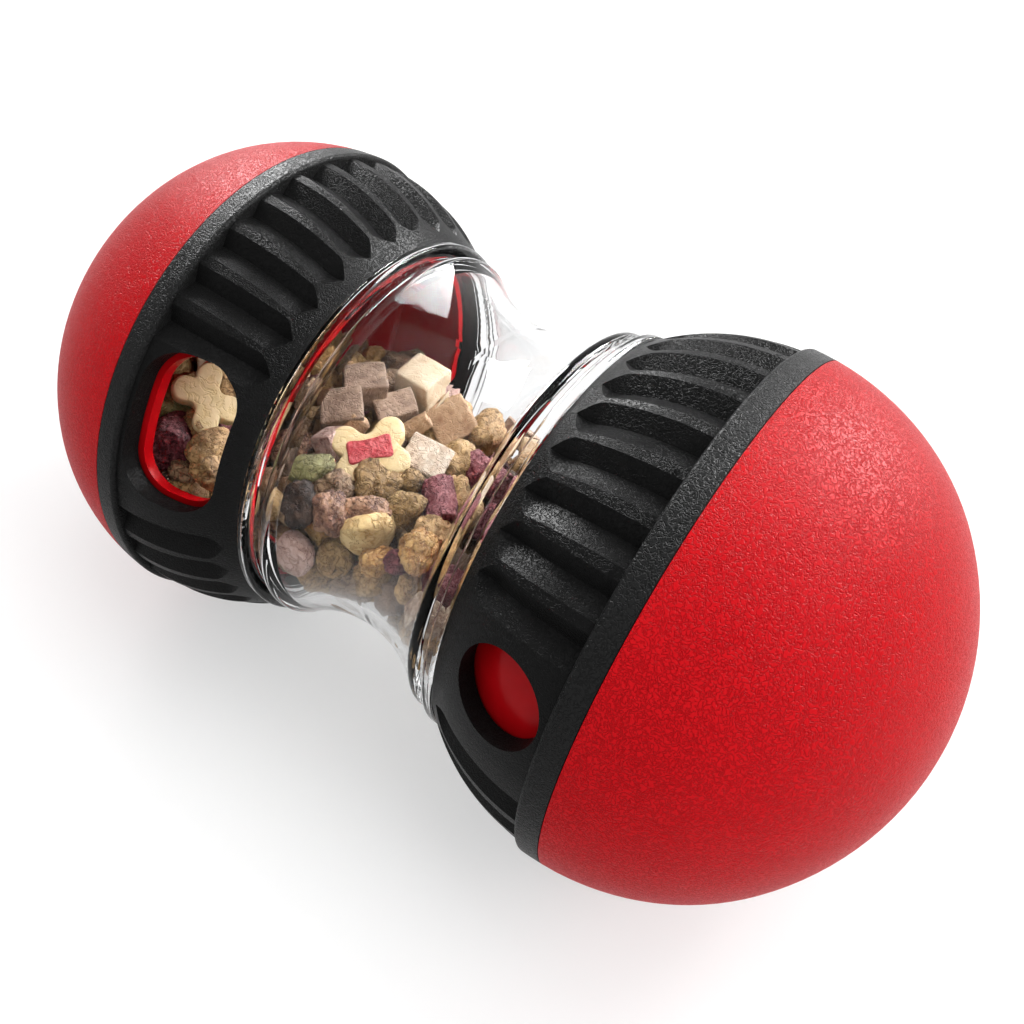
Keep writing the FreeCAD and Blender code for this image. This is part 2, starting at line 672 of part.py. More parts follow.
def make_dome(doc, end):
    """Domed end: a shell of two tangent arcs, with a web and a plug that presses into the shutter."""
    body = new_body(doc, "dome_" + end.name)
    shoulder = (["dome_centre"], ["shoulder_height"])
    shoulder_spot = Vector(VALUE["dome_centre"], VALUE["shoulder_height"], 0)
    crown_spot = Vector(VALUE["half_length"] - VALUE["crown_radius"], 0, 0)
    inner_crown = VALUE["crown_radius"] - VALUE["dome_wall"]
    inner_shoulder = VALUE["shoulder_radius"] - VALUE["dome_wall"]
    to_join = (shoulder_spot - crown_spot) / (VALUE["crown_radius"] - VALUE["shoulder_radius"])
    outer_join = crown_spot + to_join * VALUE["crown_radius"]
    inner_join = crown_spot + to_join * inner_crown
    mouth = ["dome_centre", "band_width", "face_gap"]
    web_end = ["shutter_end", "dome_web"]
    plug_start = ["shutter_end", "-plug_length"]
    plug_outer = ["collar_bore", "-running_gap", "-shutter_wall"]
    plug_inner = plug_outer + ["-plug_wall"]

    def height(x, radius):
        return on_circle(x, shoulder_spot.x, shoulder_spot.y, radius)

    outline = Profile(body, "dome_outline_" + end.name)
    outline.corner(mouth, None, (0, height(total(mouth), VALUE["shoulder_radius"])))
    outline.arc(*shoulder, ["shoulder_radius"])
    outline.corner(None, None, outer_join, smooth=True).free_arc(crown_spot, VALUE["crown_radius"])
    outline.corner(["half_length"], []).line()
    outline.corner(["half_length", "-dome_wall"], []).free_arc(crown_spot, inner_crown, like=1)
    outline.corner(None, None, inner_join, smooth=True).free_arc(shoulder_spot, inner_shoulder, like=0)
    outline.corner(web_end, None, (0, height(total(web_end), inner_shoulder))).line()
    outline.corner(web_end, plug_inner).line()
    outline.corner(plug_start, plug_inner).line()
    outline.corner(plug_start, plug_outer).line()
    outline.corner(["shutter_end"], plug_outer).line()
    outline.corner(["shutter_end"], None, (0, height(VALUE["shutter_end"], inner_shoulder)))
    outline.arc(*shoulder, ["shoulder_radius", "-dome_wall"])
    outline.corner(mouth, None, (0, height(total(mouth), inner_shoulder))).line()
    revolve(body, outline.close(), "dome_shell_" + end.name)
    return body


def make_treat_shapes(doc):
    """One treat of each shape about the origin, all just inside a ball of the treat size."""
    kibble = new_body(doc, "kibble_shape")
    outline = Profile(kibble, "kibble_outline")
    outline.corner(["-kibble_half_thickness"], []).line()
    outline.corner(["-kibble_half_thickness"], ["kibble_face_radius"]).line()
    outline.corner(["-kibble_half_edge"], ["kibble_radius"]).line()
    outline.corner(["kibble_half_edge"], ["kibble_radius"]).line()
    outline.corner(["kibble_half_thickness"], ["kibble_face_radius"]).line()
    outline.corner(["kibble_half_thickness"], []).line()
    revolve(kibble, outline.close(), "kibble_form")
    cube = new_body(doc, "cube_shape")
    block = cube.newObject("PartDesign::AdditiveBox", "cube_block")
    block.AttachmentSupport = [(origin_feature(cube, "XY_Plane"), "")]
    block.MapMode = "FlatFace"
    for side in ("Length", "Width", "Height"):
        block.setExpression(side, "Sizes.cube_side")
    for axis in "xyz":
        block.setExpression("AttachmentOffset.Base." + axis, "-Sizes.cube_side / 2")
    doc.recompute()
    cut_edges = cube.newObject("PartDesign::Chamfer", "cube_cut_edges")
    cut_edges.Base = (block, ["Edge%d" % (index + 1) for index in range(len(block.Shape.Edges))])
    cut_edges.Size = VALUE["cube_chamfer"]
    cut_edges.setExpression("Size", "Sizes.cube_chamfer")
    stick = new_body(doc, "stick_shape")
    rod = stick.newObject("PartDesign::AdditiveCylinder", "stick_rod")
    rod.AttachmentSupport = [(origin_feature(stick, "XY_Plane"), "")]
    rod.MapMode = "FlatFace"
    rod.setExpression("Radius", "Sizes.stick_width / 2")
    rod.setExpression("Height", "Sizes.stick_length")
    rod.setExpression("AttachmentOffset.Base.z", "-Sizes.stick_length / 2")
    doc.recompute()
    for body in (kibble, cube, stick):
        box = body.Shape.BoundBox
        if box.Center.Length > MATCH:
            raise ValueError("%s is off its centre" % body.Label)
    return {"kibble": kibble, "cubes": cube, "sticks": stick}


def room_in_chamber(x, height):
    """Distance from a spot in the chamber to its wall."""
    to_waist = math.hypot(x, VALUE["waist_centre_height"] - height) - VALUE["waist_inner_arc"]
    to_ends = VALUE["shutter_start"] - abs(x)
    return min(to_waist, VALUE["neck_bore_radius"] - height, to_ends)


def room_in_left_end(x, height):
    """Distance from a spot in the left end to the sleeve, the plug or the dome."""
    along = -x - VALUE["dome_centre"]
    inner_shoulder = VALUE["shoulder_radius"] - VALUE["dome_wall"]
    to_sleeve = VALUE["shutter_inner_arc"] - math.hypot(along, height - VALUE["crest_centre_height"])
    if along > 0.0:
        to_sleeve = VALUE["sleeve_inner_radius"] - height
    to_plug = VALUE["plug_inner_radius"] - height
    to_dome = inner_shoulder - math.hypot(along, height - VALUE["shoulder_height"])
    to_start = -x - VALUE["shutter_start"]
    if along < 0.0:
        return min(to_sleeve, to_start)
    return min(to_sleeve, to_plug, to_dome)


def settle(pile, room, x_low, x_high):
    """Lets balls sink, push each other apart and stay inside the wall; returns their spots and sizes."""
    chance = random.Random(pile.place_seed)
    largest = VALUE["treat_size"] / 2.0
    smallest = VALUE["smallest_treat"] / 2.0
    sizes = [chance.uniform(smallest, largest) for _ in range(pile.count)]
    half = VALUE["waist_radius"] / 2.0
    spots = [
        [chance.uniform(x_low, x_high), chance.uniform(-half, half), chance.uniform(-half, 2.0 * half)]
        for _ in sizes
    ]
    for turn in range(PILE_ROUNDS):
        sink = SINK if turn < PILE_ROUNDS * 0.7 else LAST_SINK
        for spot in spots:
            spot[1] -= sink * PILE_SLOPE
            spot[2] -= sink
        for _ in range(2):
            push_apart(spots, sizes)
            for spot, size in zip(spots, sizes):
                keep_inside(spot, size, room, x_low, x_high)
    return spots, fitted(spots, sizes, room)


def push_apart(spots, sizes):
    """Moves each pair of balls that overlap apart by half the overlap each."""
    order = sorted(range(len(spots)), key=lambda index: spots[index][0])
    reach = VALUE["treat_size"]
    for place, first in enumerate(order):
        here = spots[first]
        for second in order[place + 1:]:
            there = spots[second]
            if there[0] - here[0] > reach:
                break
            apart = math.dist(here, there)
            overlap = sizes[first] + sizes[second] - apart
            if overlap > 0.0:
                share = overlap / (2.0 * apart)
                for axis in range(3):
                    step = (there[axis] - here[axis]) * share
                    here[axis] -= step
                    there[axis] += step


def keep_inside(spot, size, room, x_low, x_high):
    """Brings a ball back inside the ends and the wall of its hollow."""
    spot[0] = min(max(spot[0], x_low + size), x_high - size)
    height = math.hypot(spot[1], spot[2])
    beyond = size + VALUE["treat_gap"] - room(spot[0], height)
    if beyond > 0.0 and height > beyond:
        spot[1] -= spot[1] * beyond / height
        spot[2] -= spot[2] * beyond / height


def fitted(spots, sizes, room):
    """Sizes at which no ball meets another or the wall."""
    gap = VALUE["treat_gap"]
    result = []
    for index, (spot, size) in enumerate(zip(spots, sizes)):
        share = (room(spot[0], math.hypot(spot[1], spot[2])) - gap) / size
        for other, (other_spot, other_size) in enumerate(zip(spots, sizes)):
            if other != index:
                share = min(share, (math.dist(other_spot, spot) - gap) / (size + other_size))
        result.append(size * min(share, 1.0))
    return result


def make_pile(doc, pile, shapes, room, x_low, x_high):
    """One group of separate treats for each shape in the mix, each treat turned its own way."""
    spots, sizes = settle(pile, room, x_low, x_high)
    chance = random.Random(pile.turn_seed)
    names = chance.choices(list(MIX), weights=list(MIX.values()), k=pile.count)
    groups = []
    for kind, template in shapes.items():
        treats = []
        for name, spot, size in zip(names, spots, sizes):
            spin = Rotation(*[chance.uniform(0.0, FULL_TURN) for _ in range(3)])
            if name == kind:
                treat = template.Shape.scaled(2.0 * size / VALUE["treat_size"])
                treat.Placement = Placement(Vector(*spot), spin)
                treats.append(treat)
        group = doc.addObject("Part::Feature", "%s_%s" % (pile.name, kind))
        group.Label = group.Name
        group.Shape = Part.makeCompound(treats)
        groups.append(group)
    return groups


def seat(body, end, extra_turn):
    """Turns a piece about the long axis, then faces it to its end of the ball."""
    facing = Rotation(UPWARD, end.facing)
    turn = Rotation(ALONG, end.hole_turn + extra_turn)
    body.Placement = Placement(Vector(0, 0, 0), turn.multiply(facing))


def check(doc, bodies, treats):
    """Stops if any object of the document failed, or any piece or treat isn't sound."""
    for item in doc.Objects:
        if "Invalid" in item.State or "Error" in item.State:
            raise ValueError("%s did not build" % item.Label)
    for body in bodies:
        shape = body.Shape
        if shape.isNull() or not shape.isValid() or len(shape.Solids) != 1:
            raise ValueError("%s is not one sound solid" % body.Label)
    for group in treats:
        if not group.Shape.isValid() or not group.Shape.Solids:
            raise ValueError("%s holds no sound treats" % group.Label)


def main():
    doc = FreeCAD.newDocument("treat_ball")
    make_sheet(doc)
    bodies = [make_chamber(doc)]
    for end in ENDS:
        held = [make_collar(doc, end), make_band(doc, end)]
        turning = [make_shutter(doc, end), make_dome(doc, end)]
        for body in held:
            seat(body, end, -end.lean * HOLE_LEAD)
        for body in turning:
            seat(body, end, end.rest_turn)
        bodies += held + turning
    shapes = make_treat_shapes(doc)
    mouth = VALUE["shutter_start"]
    chamber_pile, left_pile = PILES
    treats = make_pile(doc, chamber_pile, shapes, room_in_chamber, -mouth, mouth)
    left_limit = -VALUE["shutter_end"] - VALUE["dome_web"] - 2.0 * VALUE["treat_size"]
    treats += make_pile(doc, left_pile, shapes, room_in_left_end, left_limit, -mouth)
    doc.recompute()
    check(doc, bodies, treats)
    os.makedirs("parts", exist_ok=True)
    for body in bodies + treats:
        body.Shape.exportStep(os.path.join("parts", body.Label + ".step"))
        print("%-16s %8.0f mm3 %4d faces" % (body.Label, body.Shape.Volume, len(body.Shape.Faces)))


main()
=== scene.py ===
# %% [markdown]
# A rolling treat ball
# The object is a toy that drops treats as a dog rolls it: a clear chamber with a narrow waist, a fluted
# black collar on each end of it, and a red domed end on each collar that turns a sleeve shutter behind the
# treat hole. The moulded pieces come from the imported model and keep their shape; here they get their
# finishes. The treats in them are packed as plain solids; here each is swapped for a rough one, made in
# mesh code.

import math
from collections import namedtuple

import bmesh
import bpy
import numpy as np
from mathutils import Euler, Matrix, Vector, noise


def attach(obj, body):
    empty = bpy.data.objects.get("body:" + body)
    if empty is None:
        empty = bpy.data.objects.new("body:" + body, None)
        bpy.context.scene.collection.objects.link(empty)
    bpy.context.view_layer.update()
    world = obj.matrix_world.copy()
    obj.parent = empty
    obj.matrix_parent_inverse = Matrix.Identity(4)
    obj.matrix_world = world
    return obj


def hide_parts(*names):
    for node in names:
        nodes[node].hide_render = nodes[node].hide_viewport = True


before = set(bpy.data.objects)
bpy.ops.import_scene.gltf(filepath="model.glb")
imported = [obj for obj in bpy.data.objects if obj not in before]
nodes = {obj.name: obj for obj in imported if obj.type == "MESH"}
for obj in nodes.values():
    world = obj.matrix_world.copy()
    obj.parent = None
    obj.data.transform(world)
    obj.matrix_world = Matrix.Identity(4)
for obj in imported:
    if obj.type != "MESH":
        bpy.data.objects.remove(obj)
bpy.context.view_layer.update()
MM = 0.001


print("packed pieces:", sorted(nodes))


# %% [markdown]
# Looking from where the photograph was taken
# The camera was worked out from the outline of the ball, its bands and its rims. It stands close, a little
# above the right end, which is why that end looks so much larger. The picture's middle isn't where the lens
# points, as in a photograph that has been cropped, so the lens is shifted rather than the ball moved.

# %% Camera
PICTURE = 1024
SENSOR = 36.0
LENS_PIXELS = 1129.0
MIDDLE = (346.35, 420.89)
NEAREST = 0.005
CAMERA_PLACE = (0.0628031, -0.1033162, 0.1301938)
TO_RIGHT = Vector((0.7644352, 0.6447006, 0.0))
TO_TOP = Vector((-0.4508158, 0.5345419, 0.7148637))
VIEWER = Matrix((TO_RIGHT, TO_TOP, TO_RIGHT.cross(TO_TOP))).transposed()

camera_data = bpy.data.cameras.new("camera")
camera_data.sensor_width = SENSOR
camera_data.lens = LENS_PIXELS / PICTURE * SENSOR
camera_data.shift_x = (PICTURE / 2 - MIDDLE[0]) / PICTURE
camera_data.shift_y = (MIDDLE[1] - PICTURE / 2) / PICTURE
camera_data.clip_start = NEAREST
camera = bpy.data.objects.new("camera", camera_data)
bpy.context.scene.collection.objects.link(camera)
bpy.context.scene.camera = camera
camera.matrix_world = Matrix.Translation(CAMERA_PLACE) @ VIEWER.to_4x4()
bpy.context.scene.view_settings.view_transform = "Standard"
print("lens %.2f mm, shift %.3f, %.3f" % (camera_data.lens, camera_data.shift_x, camera_data.shift_y))

# %% [markdown]
# A small kit for finishes
# Every finish is a tree of nodes: a few textures that follow the piece itself, a shader, and links between
# them. Making nodes by hand takes many lines, so a few short functions do it: they start a finish, add a
# node with its settings, do a sum, draw a colour ramp, find the lines along which a noise crosses its
# middle level, and join a value to the shader.

# %% Helpers for finishes
MIDDLE_LEVEL = 0.5
WHITE = (1.0, 1.0, 1.0, 1.0)


def start_finish(name):
    """A new finish with one Principled shader; returns the finish, its tree and the shader."""
    finish = bpy.data.materials.new(name)
    finish.use_nodes = True
    tree = finish.node_tree
    tree.nodes.clear()
    shader = tree.nodes.new("ShaderNodeBsdfPrincipled")
    end = tree.nodes.new("ShaderNodeOutputMaterial")
    tree.links.new(shader.outputs["BSDF"], end.inputs["Surface"])
    return finish, tree, shader


def add(tree, kind, inputs=None, **settings):
    """Adds a node and sets its settings, then its sockets: a value is written in, a socket is linked."""
    node = tree.nodes.new("ShaderNode" + kind)
    for key, value in settings.items():
        setattr(node, key, value)
    for key, value in (inputs or {}).items():
        if isinstance(value, bpy.types.NodeSocket):
            tree.links.new(value, node.inputs[key])
        else:
            node.inputs[key].default_value = value
    return node


def maths(tree, operation, *values):
    """The result of one sum on up to three values or sockets."""
    return add(tree, "Math", dict(enumerate(values)), operation=operation).outputs[0]


def ramp(tree, factor, stops):
    """A colour ramp through the given places and colours."""
    node = add(tree, "ValToRGB", {"Fac": factor})
    places = node.color_ramp.elements
    while len(places) < len(stops):
        places.new(MIDDLE_LEVEL)
    for place, (where, colour) in zip(places, stops):
        place.position = where
        place.color = (*colour, 1.0)
    return node.outputs["Color"]


def lines_of(tree, level, width):
    """Nought where a noise crosses its middle level, rising to one at a width from those lines."""
    off = maths(tree, "SUBTRACT", level, MIDDLE_LEVEL)
    far = maths(tree, "ABSOLUTE", off)
    rise = add(tree, "MapRange", {"Value": far, "From Max": width}, interpolation_type="SMOOTHSTEP")
    return rise.outputs["Result"]


def join(tree, value, shader, socket):
    """Feeds the shader's named socket with a value that other nodes make."""
    tree.links.new(value, shader.inputs[socket])


def end_with(tree, last):
    """Puts another shader on the finish's output in place of the plain one."""
    end = next(node for node in tree.nodes if node.type == "OUTPUT_MATERIAL")
    tree.links.new(last, end.inputs["Surface"])


def grey(level):
    """A grey of the given level."""
    return (level, level, level)


print("finish kit ready")


# %% [markdown]
# Grained plastic
# The domes, bands and collars are moulded in tools with a leathery grain: fine wrinkles that wander like
# worm tracks, with low pebbles between them. It is too fine to model, so it is a bump. A noise crosses its
# middle level along wandering lines, and a ramp around that level turns the lines into wrinkles; a finer
# noise roughens the pebbles. The wrinkles, which the bump sets lowest, are also coloured darker than the
# pebbles: painted shade in the grooves. A broad noise moves the colour and the gloss a little besides,
# because moulded plastic is never quite even.

# %% Grain shared by the moulded plastics
WANDER_PER_SIZE = 0.75
FINE_PER_SIZE = 2.2
WRINKLE_WIDTH = 0.085
FINE_SHARE = 0.5
GROOVE_SHADE_SHARE = 0.5
CLOUD_SHARE, CLOUD_OFFSET = 0.55, -0.1


def wrinkles(tree, place, size):
    """Nought on thin wandering lines about a size apart, one on the pebbles between them."""
    scale = WANDER_PER_SIZE / size
    wander = add(tree, "TexNoise", {"Vector": place, "Scale": scale, "Detail": 1.5, "Distortion": 0.6})
    return lines_of(tree, wander.outputs["Fac"], WRINKLE_WIDTH)


def moulded(name, low, high, gloss, size, depth, shine):
    """Grained plastic: painted-shade wrinkle colour, pebble colour, roughness range, grain size, depth,
    shine.
    """
    finish, tree, shader = start_finish(name)
    place = add(tree, "TexCoord").outputs["Object"]
    pebbles = wrinkles(tree, place, size)
    fine = add(tree, "TexNoise", {"Vector": place, "Scale": FINE_PER_SIZE / size, "Detail": 2.0})
    height = maths(tree, "MULTIPLY_ADD", fine.outputs["Fac"], FINE_SHARE, pebbles)
    bump = add(tree, "Bump", {"Height": height, "Distance": depth}).outputs["Normal"]
    join(tree, bump, shader, "Normal")
    cloud = add(tree, "TexNoise", {"Vector": place, "Scale": 45.0, "Detail": 4.0}).outputs["Fac"]
    mixed = maths(tree, "MULTIPLY_ADD", cloud, CLOUD_SHARE, CLOUD_OFFSET)
    # The pebbles lift the tone, so the wrinkles, set lowest by the bump, are darker: painted shade in the
    # grooves.
    tone = maths(tree, "MULTIPLY_ADD", pebbles, GROOVE_SHADE_SHARE, mixed)
    join(tree, ramp(tree, tone, [(0.0, low), (1.0, high)]), shader, "Base Color")
    rough = add(tree, "MapRange", {"Value": tone, "To Min": gloss[1], "To Max": gloss[0]})
    join(tree, rough.outputs["Result"], shader, "Roughness")
    shader.inputs["Specular IOR Level"].default_value = shine
    return finish


RED_LOW, RED_HIGH = (0.44, 0.003, 0.006), (0.66, 0.008, 0.013)
BAND_LOW, BAND_HIGH = grey(0.007), grey(0.017)
COLLAR_LOW, COLLAR_HIGH = grey(0.0035), grey(0.009)
dome_red = moulded("dome_red", RED_LOW, RED_HIGH, (0.34, 0.42), 0.00036, 0.00011, 0.035)
band_black = moulded("band_black", BAND_LOW, BAND_HIGH, (0.32, 0.42), 0.00042, 0.00013, 0.055)
collar_black = moulded("collar_black", COLLAR_LOW, COLLAR_HIGH, (0.28, 0.38), 0.00034, 0.00006, 0.045)
print("grained finishes:", dome_red.name, band_black.name, collar_black.name)


# %% [markdown]
# Glossy red sleeve
# The shutter sleeves turn behind the holes, so they are smooth and glossy. A very faint ripple, as on any
# moulding seen close, keeps their highlights from looking drawn with a ruler.

# %% Sleeve finish
SLEEVE_STOPS = [(0.25, (0.34, 0.002, 0.004)), (0.75, (0.44, 0.003, 0.006))]
SLEEVE_ROUGH = (0.18, 0.30)
SLEEVE_SHINE = 0.06
RIPPLE_DEPTH = 0.00004

sleeve_red, tree, shader = start_finish("sleeve_red")
place = add(tree, "TexCoord").outputs["Object"]
ripple = add(tree, "TexNoise", {"Vector": place, "Scale": 260.0, "Detail": 3.0}).outputs["Fac"]
join(tree, ramp(tree, ripple, SLEEVE_STOPS), shader, "Base Color")
rough = add(tree, "MapRange", {"Value": ripple, "To Min": SLEEVE_ROUGH[0], "To Max": SLEEVE_ROUGH[1]})
join(tree, rough.outputs["Result"], shader, "Roughness")
shader.inputs["Specular IOR Level"].default_value = SLEEVE_SHINE
bump = add(tree, "Bump", {"Height": ripple, "Distance": RIPPLE_DEPTH}).outputs["Normal"]
join(tree, bump, shader, "Normal")
print("sleeve finish:", sleeve_red.name)

# %% [markdown]
# Clear plastic
# The chamber is polished clear plastic. A shader that lets light through bends what lies behind it and
# catches bright and dark streaks on its rings, which is what shows that it is there. Its mirror light is
# kept to about a third by the specular tint, because a full one would lie over the treats as a white veil.
# Real clear plastic also lets lamp light through to the treats, so for rays that look for a lamp the shader
# is swapped for a see-through one.

# %% Chamber finish
CLEAR_IOR = 1.26
MIRROR_SHARE = 0.32
CLEAR_STOPS = [(0.2, (0.87, 0.875, 0.88)), (0.8, (0.915, 0.92, 0.92))]
CLEAR_ROUGH = (0.0, 0.02)
FLOW_DEPTH, FLOW_STRENGTH = 0.00008, 0.5
LET_THROUGH = (0.98, 0.985, 0.985, 1.0)

chamber_clear, tree, shader = start_finish("chamber_clear")
shader.inputs["Transmission Weight"].default_value = 1.0
shader.inputs["IOR"].default_value = CLEAR_IOR
shader.inputs["Specular Tint"].default_value = (*grey(MIRROR_SHARE), 1.0)
place = add(tree, "TexCoord").outputs["Object"]
flow = add(tree, "TexNoise", {"Vector": place, "Scale": 55.0, "Detail": 2.0}).outputs["Fac"]
join(tree, ramp(tree, flow, CLEAR_STOPS), shader, "Base Color")
rough = add(tree, "MapRange", {"Value": flow, "To Min": CLEAR_ROUGH[0], "To Max": CLEAR_ROUGH[1]})
join(tree, rough.outputs["Result"], shader, "Roughness")
bump = add(tree, "Bump", {"Height": flow, "Distance": FLOW_DEPTH, "Strength": FLOW_STRENGTH})
join(tree, bump.outputs["Normal"], shader, "Normal")
see_through = add(tree, "BsdfTransparent", {"Color": LET_THROUGH}).outputs["BSDF"]
lamp_ray = add(tree, "LightPath").outputs["Is Shadow Ray"]
either = add(tree, "MixShader", {"Fac": lamp_ray, 1: shader.outputs["BSDF"], 2: see_through})
end_with(tree, either.outputs["Shader"])
print("chamber finish:", chamber_clear.name)

# %% [markdown]
# Dressing the moulded pieces
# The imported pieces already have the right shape, so they only take their finish. Their curves look smooth
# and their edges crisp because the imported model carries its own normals.

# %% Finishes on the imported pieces
FINISHES = {
    "clear_chamber": chamber_clear,
    "collar_left": collar_black,
    "collar_right": collar_black,
    "band_left": band_black,
    "band_right": band_black,
    "shutter_left": sleeve_red,
    "shutter_right": sleeve_red,
    "dome_left": dome_red,
    "dome_right": dome_red,
}
for name, finish in FINISHES.items():
    nodes[name].data.materials.clear()
    nodes[name].data.materials.append(finish)
print("dressed", len(FINISHES), "pieces")


# %% [markdown]
# Where the treats lie
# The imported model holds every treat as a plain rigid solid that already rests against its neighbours:
# rounded tablets, small cubes and short sticks. A baked treat has no such clean shape, so each solid is
# only asked where it is, how far it reaches and how it is turned, and a rough treat takes its place. In the
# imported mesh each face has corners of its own, so corners that share a place are joined first; what then
# hangs together is one treat.

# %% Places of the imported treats
Spot = namedtuple("Spot", "sort centre reach turn")
WELD = 0.002 * MM
SQUARE_ENOUGH = 0.1
SPOT_SEED = 11


def loose_parts(mesh):
    """The separate solids of a mesh, each as a list of joined corners."""
    form = bmesh.new()
    form.from_mesh(mesh)
    bmesh.ops.remove_doubles(form, verts=form.verts, dist=WELD)
    seen = set()
    parts = []
    for start in form.verts:
        if start in seen:
            continue
        seen.add(start)
        part = [start]
        for vert in part:
            for edge in vert.link_edges:
                other = edge.other_vert(vert)
                if other not in seen:
                    seen.add(other)
                    part.append(other)
        parts.append(part)
    return form, parts


def square_turn(part):
    """Turn of a cube, from its two largest kinds of flat; of equal ones, the first in the mesh is taken."""
    faces = {face: None for vert in part for face in vert.link_faces}
    faces = sorted(faces, key=lambda face: -face.calc_area())
    up = faces[0].normal
    side = next(face.normal for face in faces if abs(face.normal.dot(up)) < SQUARE_ENOUGH)
    return Matrix((side, up.cross(side), up)).transposed()


def long_turn(points):
    """Turn of a stick, from the line that its corners spread along."""
    lines = np.linalg.eigh(np.cov(points.T))[1]
    return Vector(lines[:, 2]).to_track_quat("Z", "Y").to_matrix()


def read_spots(node, sort, chance):
    """A spot for every solid of a packed treat node, in millimetres."""
    form, parts = loose_parts(nodes[node].data)
    spots = []
    for part in parts:
        points = np.array([vert.co[:] for vert in part]) / MM
        centre = points.mean(axis=0)
        reach = float(np.linalg.norm(points - centre, axis=1).max())
        if sort == "cubes":
            turn = square_turn(part)
        elif sort == "sticks":
            turn = long_turn(points)
        else:
            turn = Euler(chance.uniform(0, 2 * math.pi, 3)).to_matrix()
        spots.append(Spot(sort, Vector(centre), reach, turn))
    form.free()
    return spots


SORTS = ("kibble", "cubes", "sticks")
chance = np.random.default_rng(SPOT_SEED)
chamber_spots = sum((read_spots("chamber_" + sort, sort, chance) for sort in SORTS), [])
left_spots = sum((read_spots("left_end_" + sort, sort, chance) for sort in SORTS), [])
print("treats in the chamber:", len(chamber_spots), "and in the left end:", len(left_spots))

# %% [markdown]
# Baked lumps
# Most of the mix is kibble: dough that was cut, puffed up and dried, so every piece is a slightly different
# lump with creases and pits. A ball of fine triangles is pressed to the rough shape and then pushed in and
# out by three noises: a broad one for the lump, a folded one for the creases and a fine one for crumbs. A
# formula with a high power turns the same ball into a tablet with a rounded edge.

# %% Lumps and tablets
COARSE, FINE = 3, 4
LUMP_STEPS = (3.1, 1.7, 2.3)
SWELL, SWELL_SCALE = 0.30, 1.1
FOLD_WIDTH, FOLD_SCALE = 0.22, 1.9
CRUMB_SCALE = 6.5
TABLET_STEPS = (1.9, 2.7, 3.3)
TABLET_POWER = 4
TABLET_SWELL, TABLET_SWELL_SCALE = 0.05, 1.3
TABLET_CRUMB, TABLET_CRUMB_SCALE = 0.035, 5.5


def fine_ball(fineness):
    """Corners and faces of a ball of radius one, made of small triangles."""
    form = bmesh.new()
    bmesh.ops.create_icosphere(form, subdivisions=fineness, radius=1.0)
    points = [vert.co.copy() for vert in form.verts]
    faces = [[vert.index for vert in face.verts] for face in form.faces]
    form.free()
    return points, faces


def seeded(seed, steps):
    """A place in the noise that is a treat's own, so that no two treats are alike."""
    return Vector([seed * step for step in steps])


def pressed(point, sizes):
    """A point moved in or out along each axis by the given sizes."""
    return Vector([along * size for along, size in zip(point, sizes)])


def lump(seed, press, fold, crumb, fineness):
    """A baked lump of radius one, pressed along its three axes."""
    points, faces = BALLS[fineness]
    away = seeded(seed, LUMP_STEPS)
    pushed = []
    for spot in points:
        out = 1 + SWELL * noise.noise(spot * SWELL_SCALE + away)
        out -= fold * max(0.0, FOLD_WIDTH - abs(noise.noise(spot * FOLD_SCALE - away))) / FOLD_WIDTH
        out += crumb * noise.noise(spot * CRUMB_SCALE + away)
        pushed.append(pressed(spot, press) * out)
    return pushed, faces


def tablet(seed, thick, fineness, bend=0.0):
    """A round tablet with a soft edge; bend lifts its two ends into a crescent."""
    points, faces = BALLS[fineness]
    away = seeded(seed, TABLET_STEPS)
    pushed = []
    for spot in points:
        across = math.hypot(spot.x, spot.y)
        size = (across**TABLET_POWER + abs(spot.z) ** TABLET_POWER) ** (-1 / TABLET_POWER)
        swell = TABLET_SWELL * noise.noise(spot * TABLET_SWELL_SCALE + away)
        out = 1 + swell + TABLET_CRUMB * noise.noise(spot * TABLET_CRUMB_SCALE + away)
        place = pressed(spot, (1.0, 1.0, thick)) * size * out
        place.z += bend * place.x**2
        pushed.append(place)
    return pushed, faces


BALLS = {fineness: fine_ball(fineness) for fineness in (COARSE, FINE)}
print("corners of a fine ball:", len(BALLS[FINE][0]))

# %% [markdown]
# Cut cubes
# The soft cubes are cut from a slab with a blade: flat faces, crisp edges that are only just rounded, and
# corners that have dried a little out of square. A bevelled cube gives the edges, a few cuts give the faces
# something to bow with. The noise that bows them is seeded, so that every run makes the same cubes.

# %% Cube
NOISE_SEED = 1
EDGE_CUT = 0.13
LONG_EDGE = 0.9
BOW_CUTS = 5
CUBE_STEPS = (2.9, 4.1, 1.3)
DRIFT, DRIFT_SCALE = 0.07, 0.6
CUBE_CRUMB, CUBE_CRUMB_SCALE = 0.03, 3.4
noise.seed_set(NOISE_SEED)


def cut_cube(seed, half):
    """A cut cube with the given half sizes."""
    form = bmesh.new()
    bmesh.ops.create_cube(form, size=2.0)
    bmesh.ops.bevel(form, geom=form.edges[:], offset=EDGE_CUT, segments=2, profile=0.6, affect="EDGES")
    long_edges = [edge for edge in form.edges if edge.calc_length() > LONG_EDGE]
    bmesh.ops.subdivide_edges(form, edges=long_edges, cuts=BOW_CUTS, use_grid_fill=True)
    form.verts.index_update()
    away = seeded(seed, CUBE_STEPS)
    points = []
    for vert in form.verts:
        drift = Vector(noise.noise_vector(vert.co * DRIFT_SCALE + away)) * DRIFT
        crumb = vert.co.normalized() * noise.noise(vert.co * CUBE_CRUMB_SCALE + away) * CUBE_CRUMB
        points.append(pressed(vert.co + drift + crumb, half))
    faces = [[vert.index for vert in face.verts] for face in form.faces]
    form.free()
    return points, faces


print("corners of a cube:", len(cut_cube(1, (1, 1, 1))[0]))

# %% [markdown]
# Sticks and biscuits
# A stick is pushed through a die and cut, a biscuit is stamped from a sheet. Both are one outline carried
# along a line, so one function makes them: a profile that is turned about its own axis, with an outline
# that says how far out each direction goes. The stick's outline is creased, and its cut end shows the roll
# it was made from as a spiral.

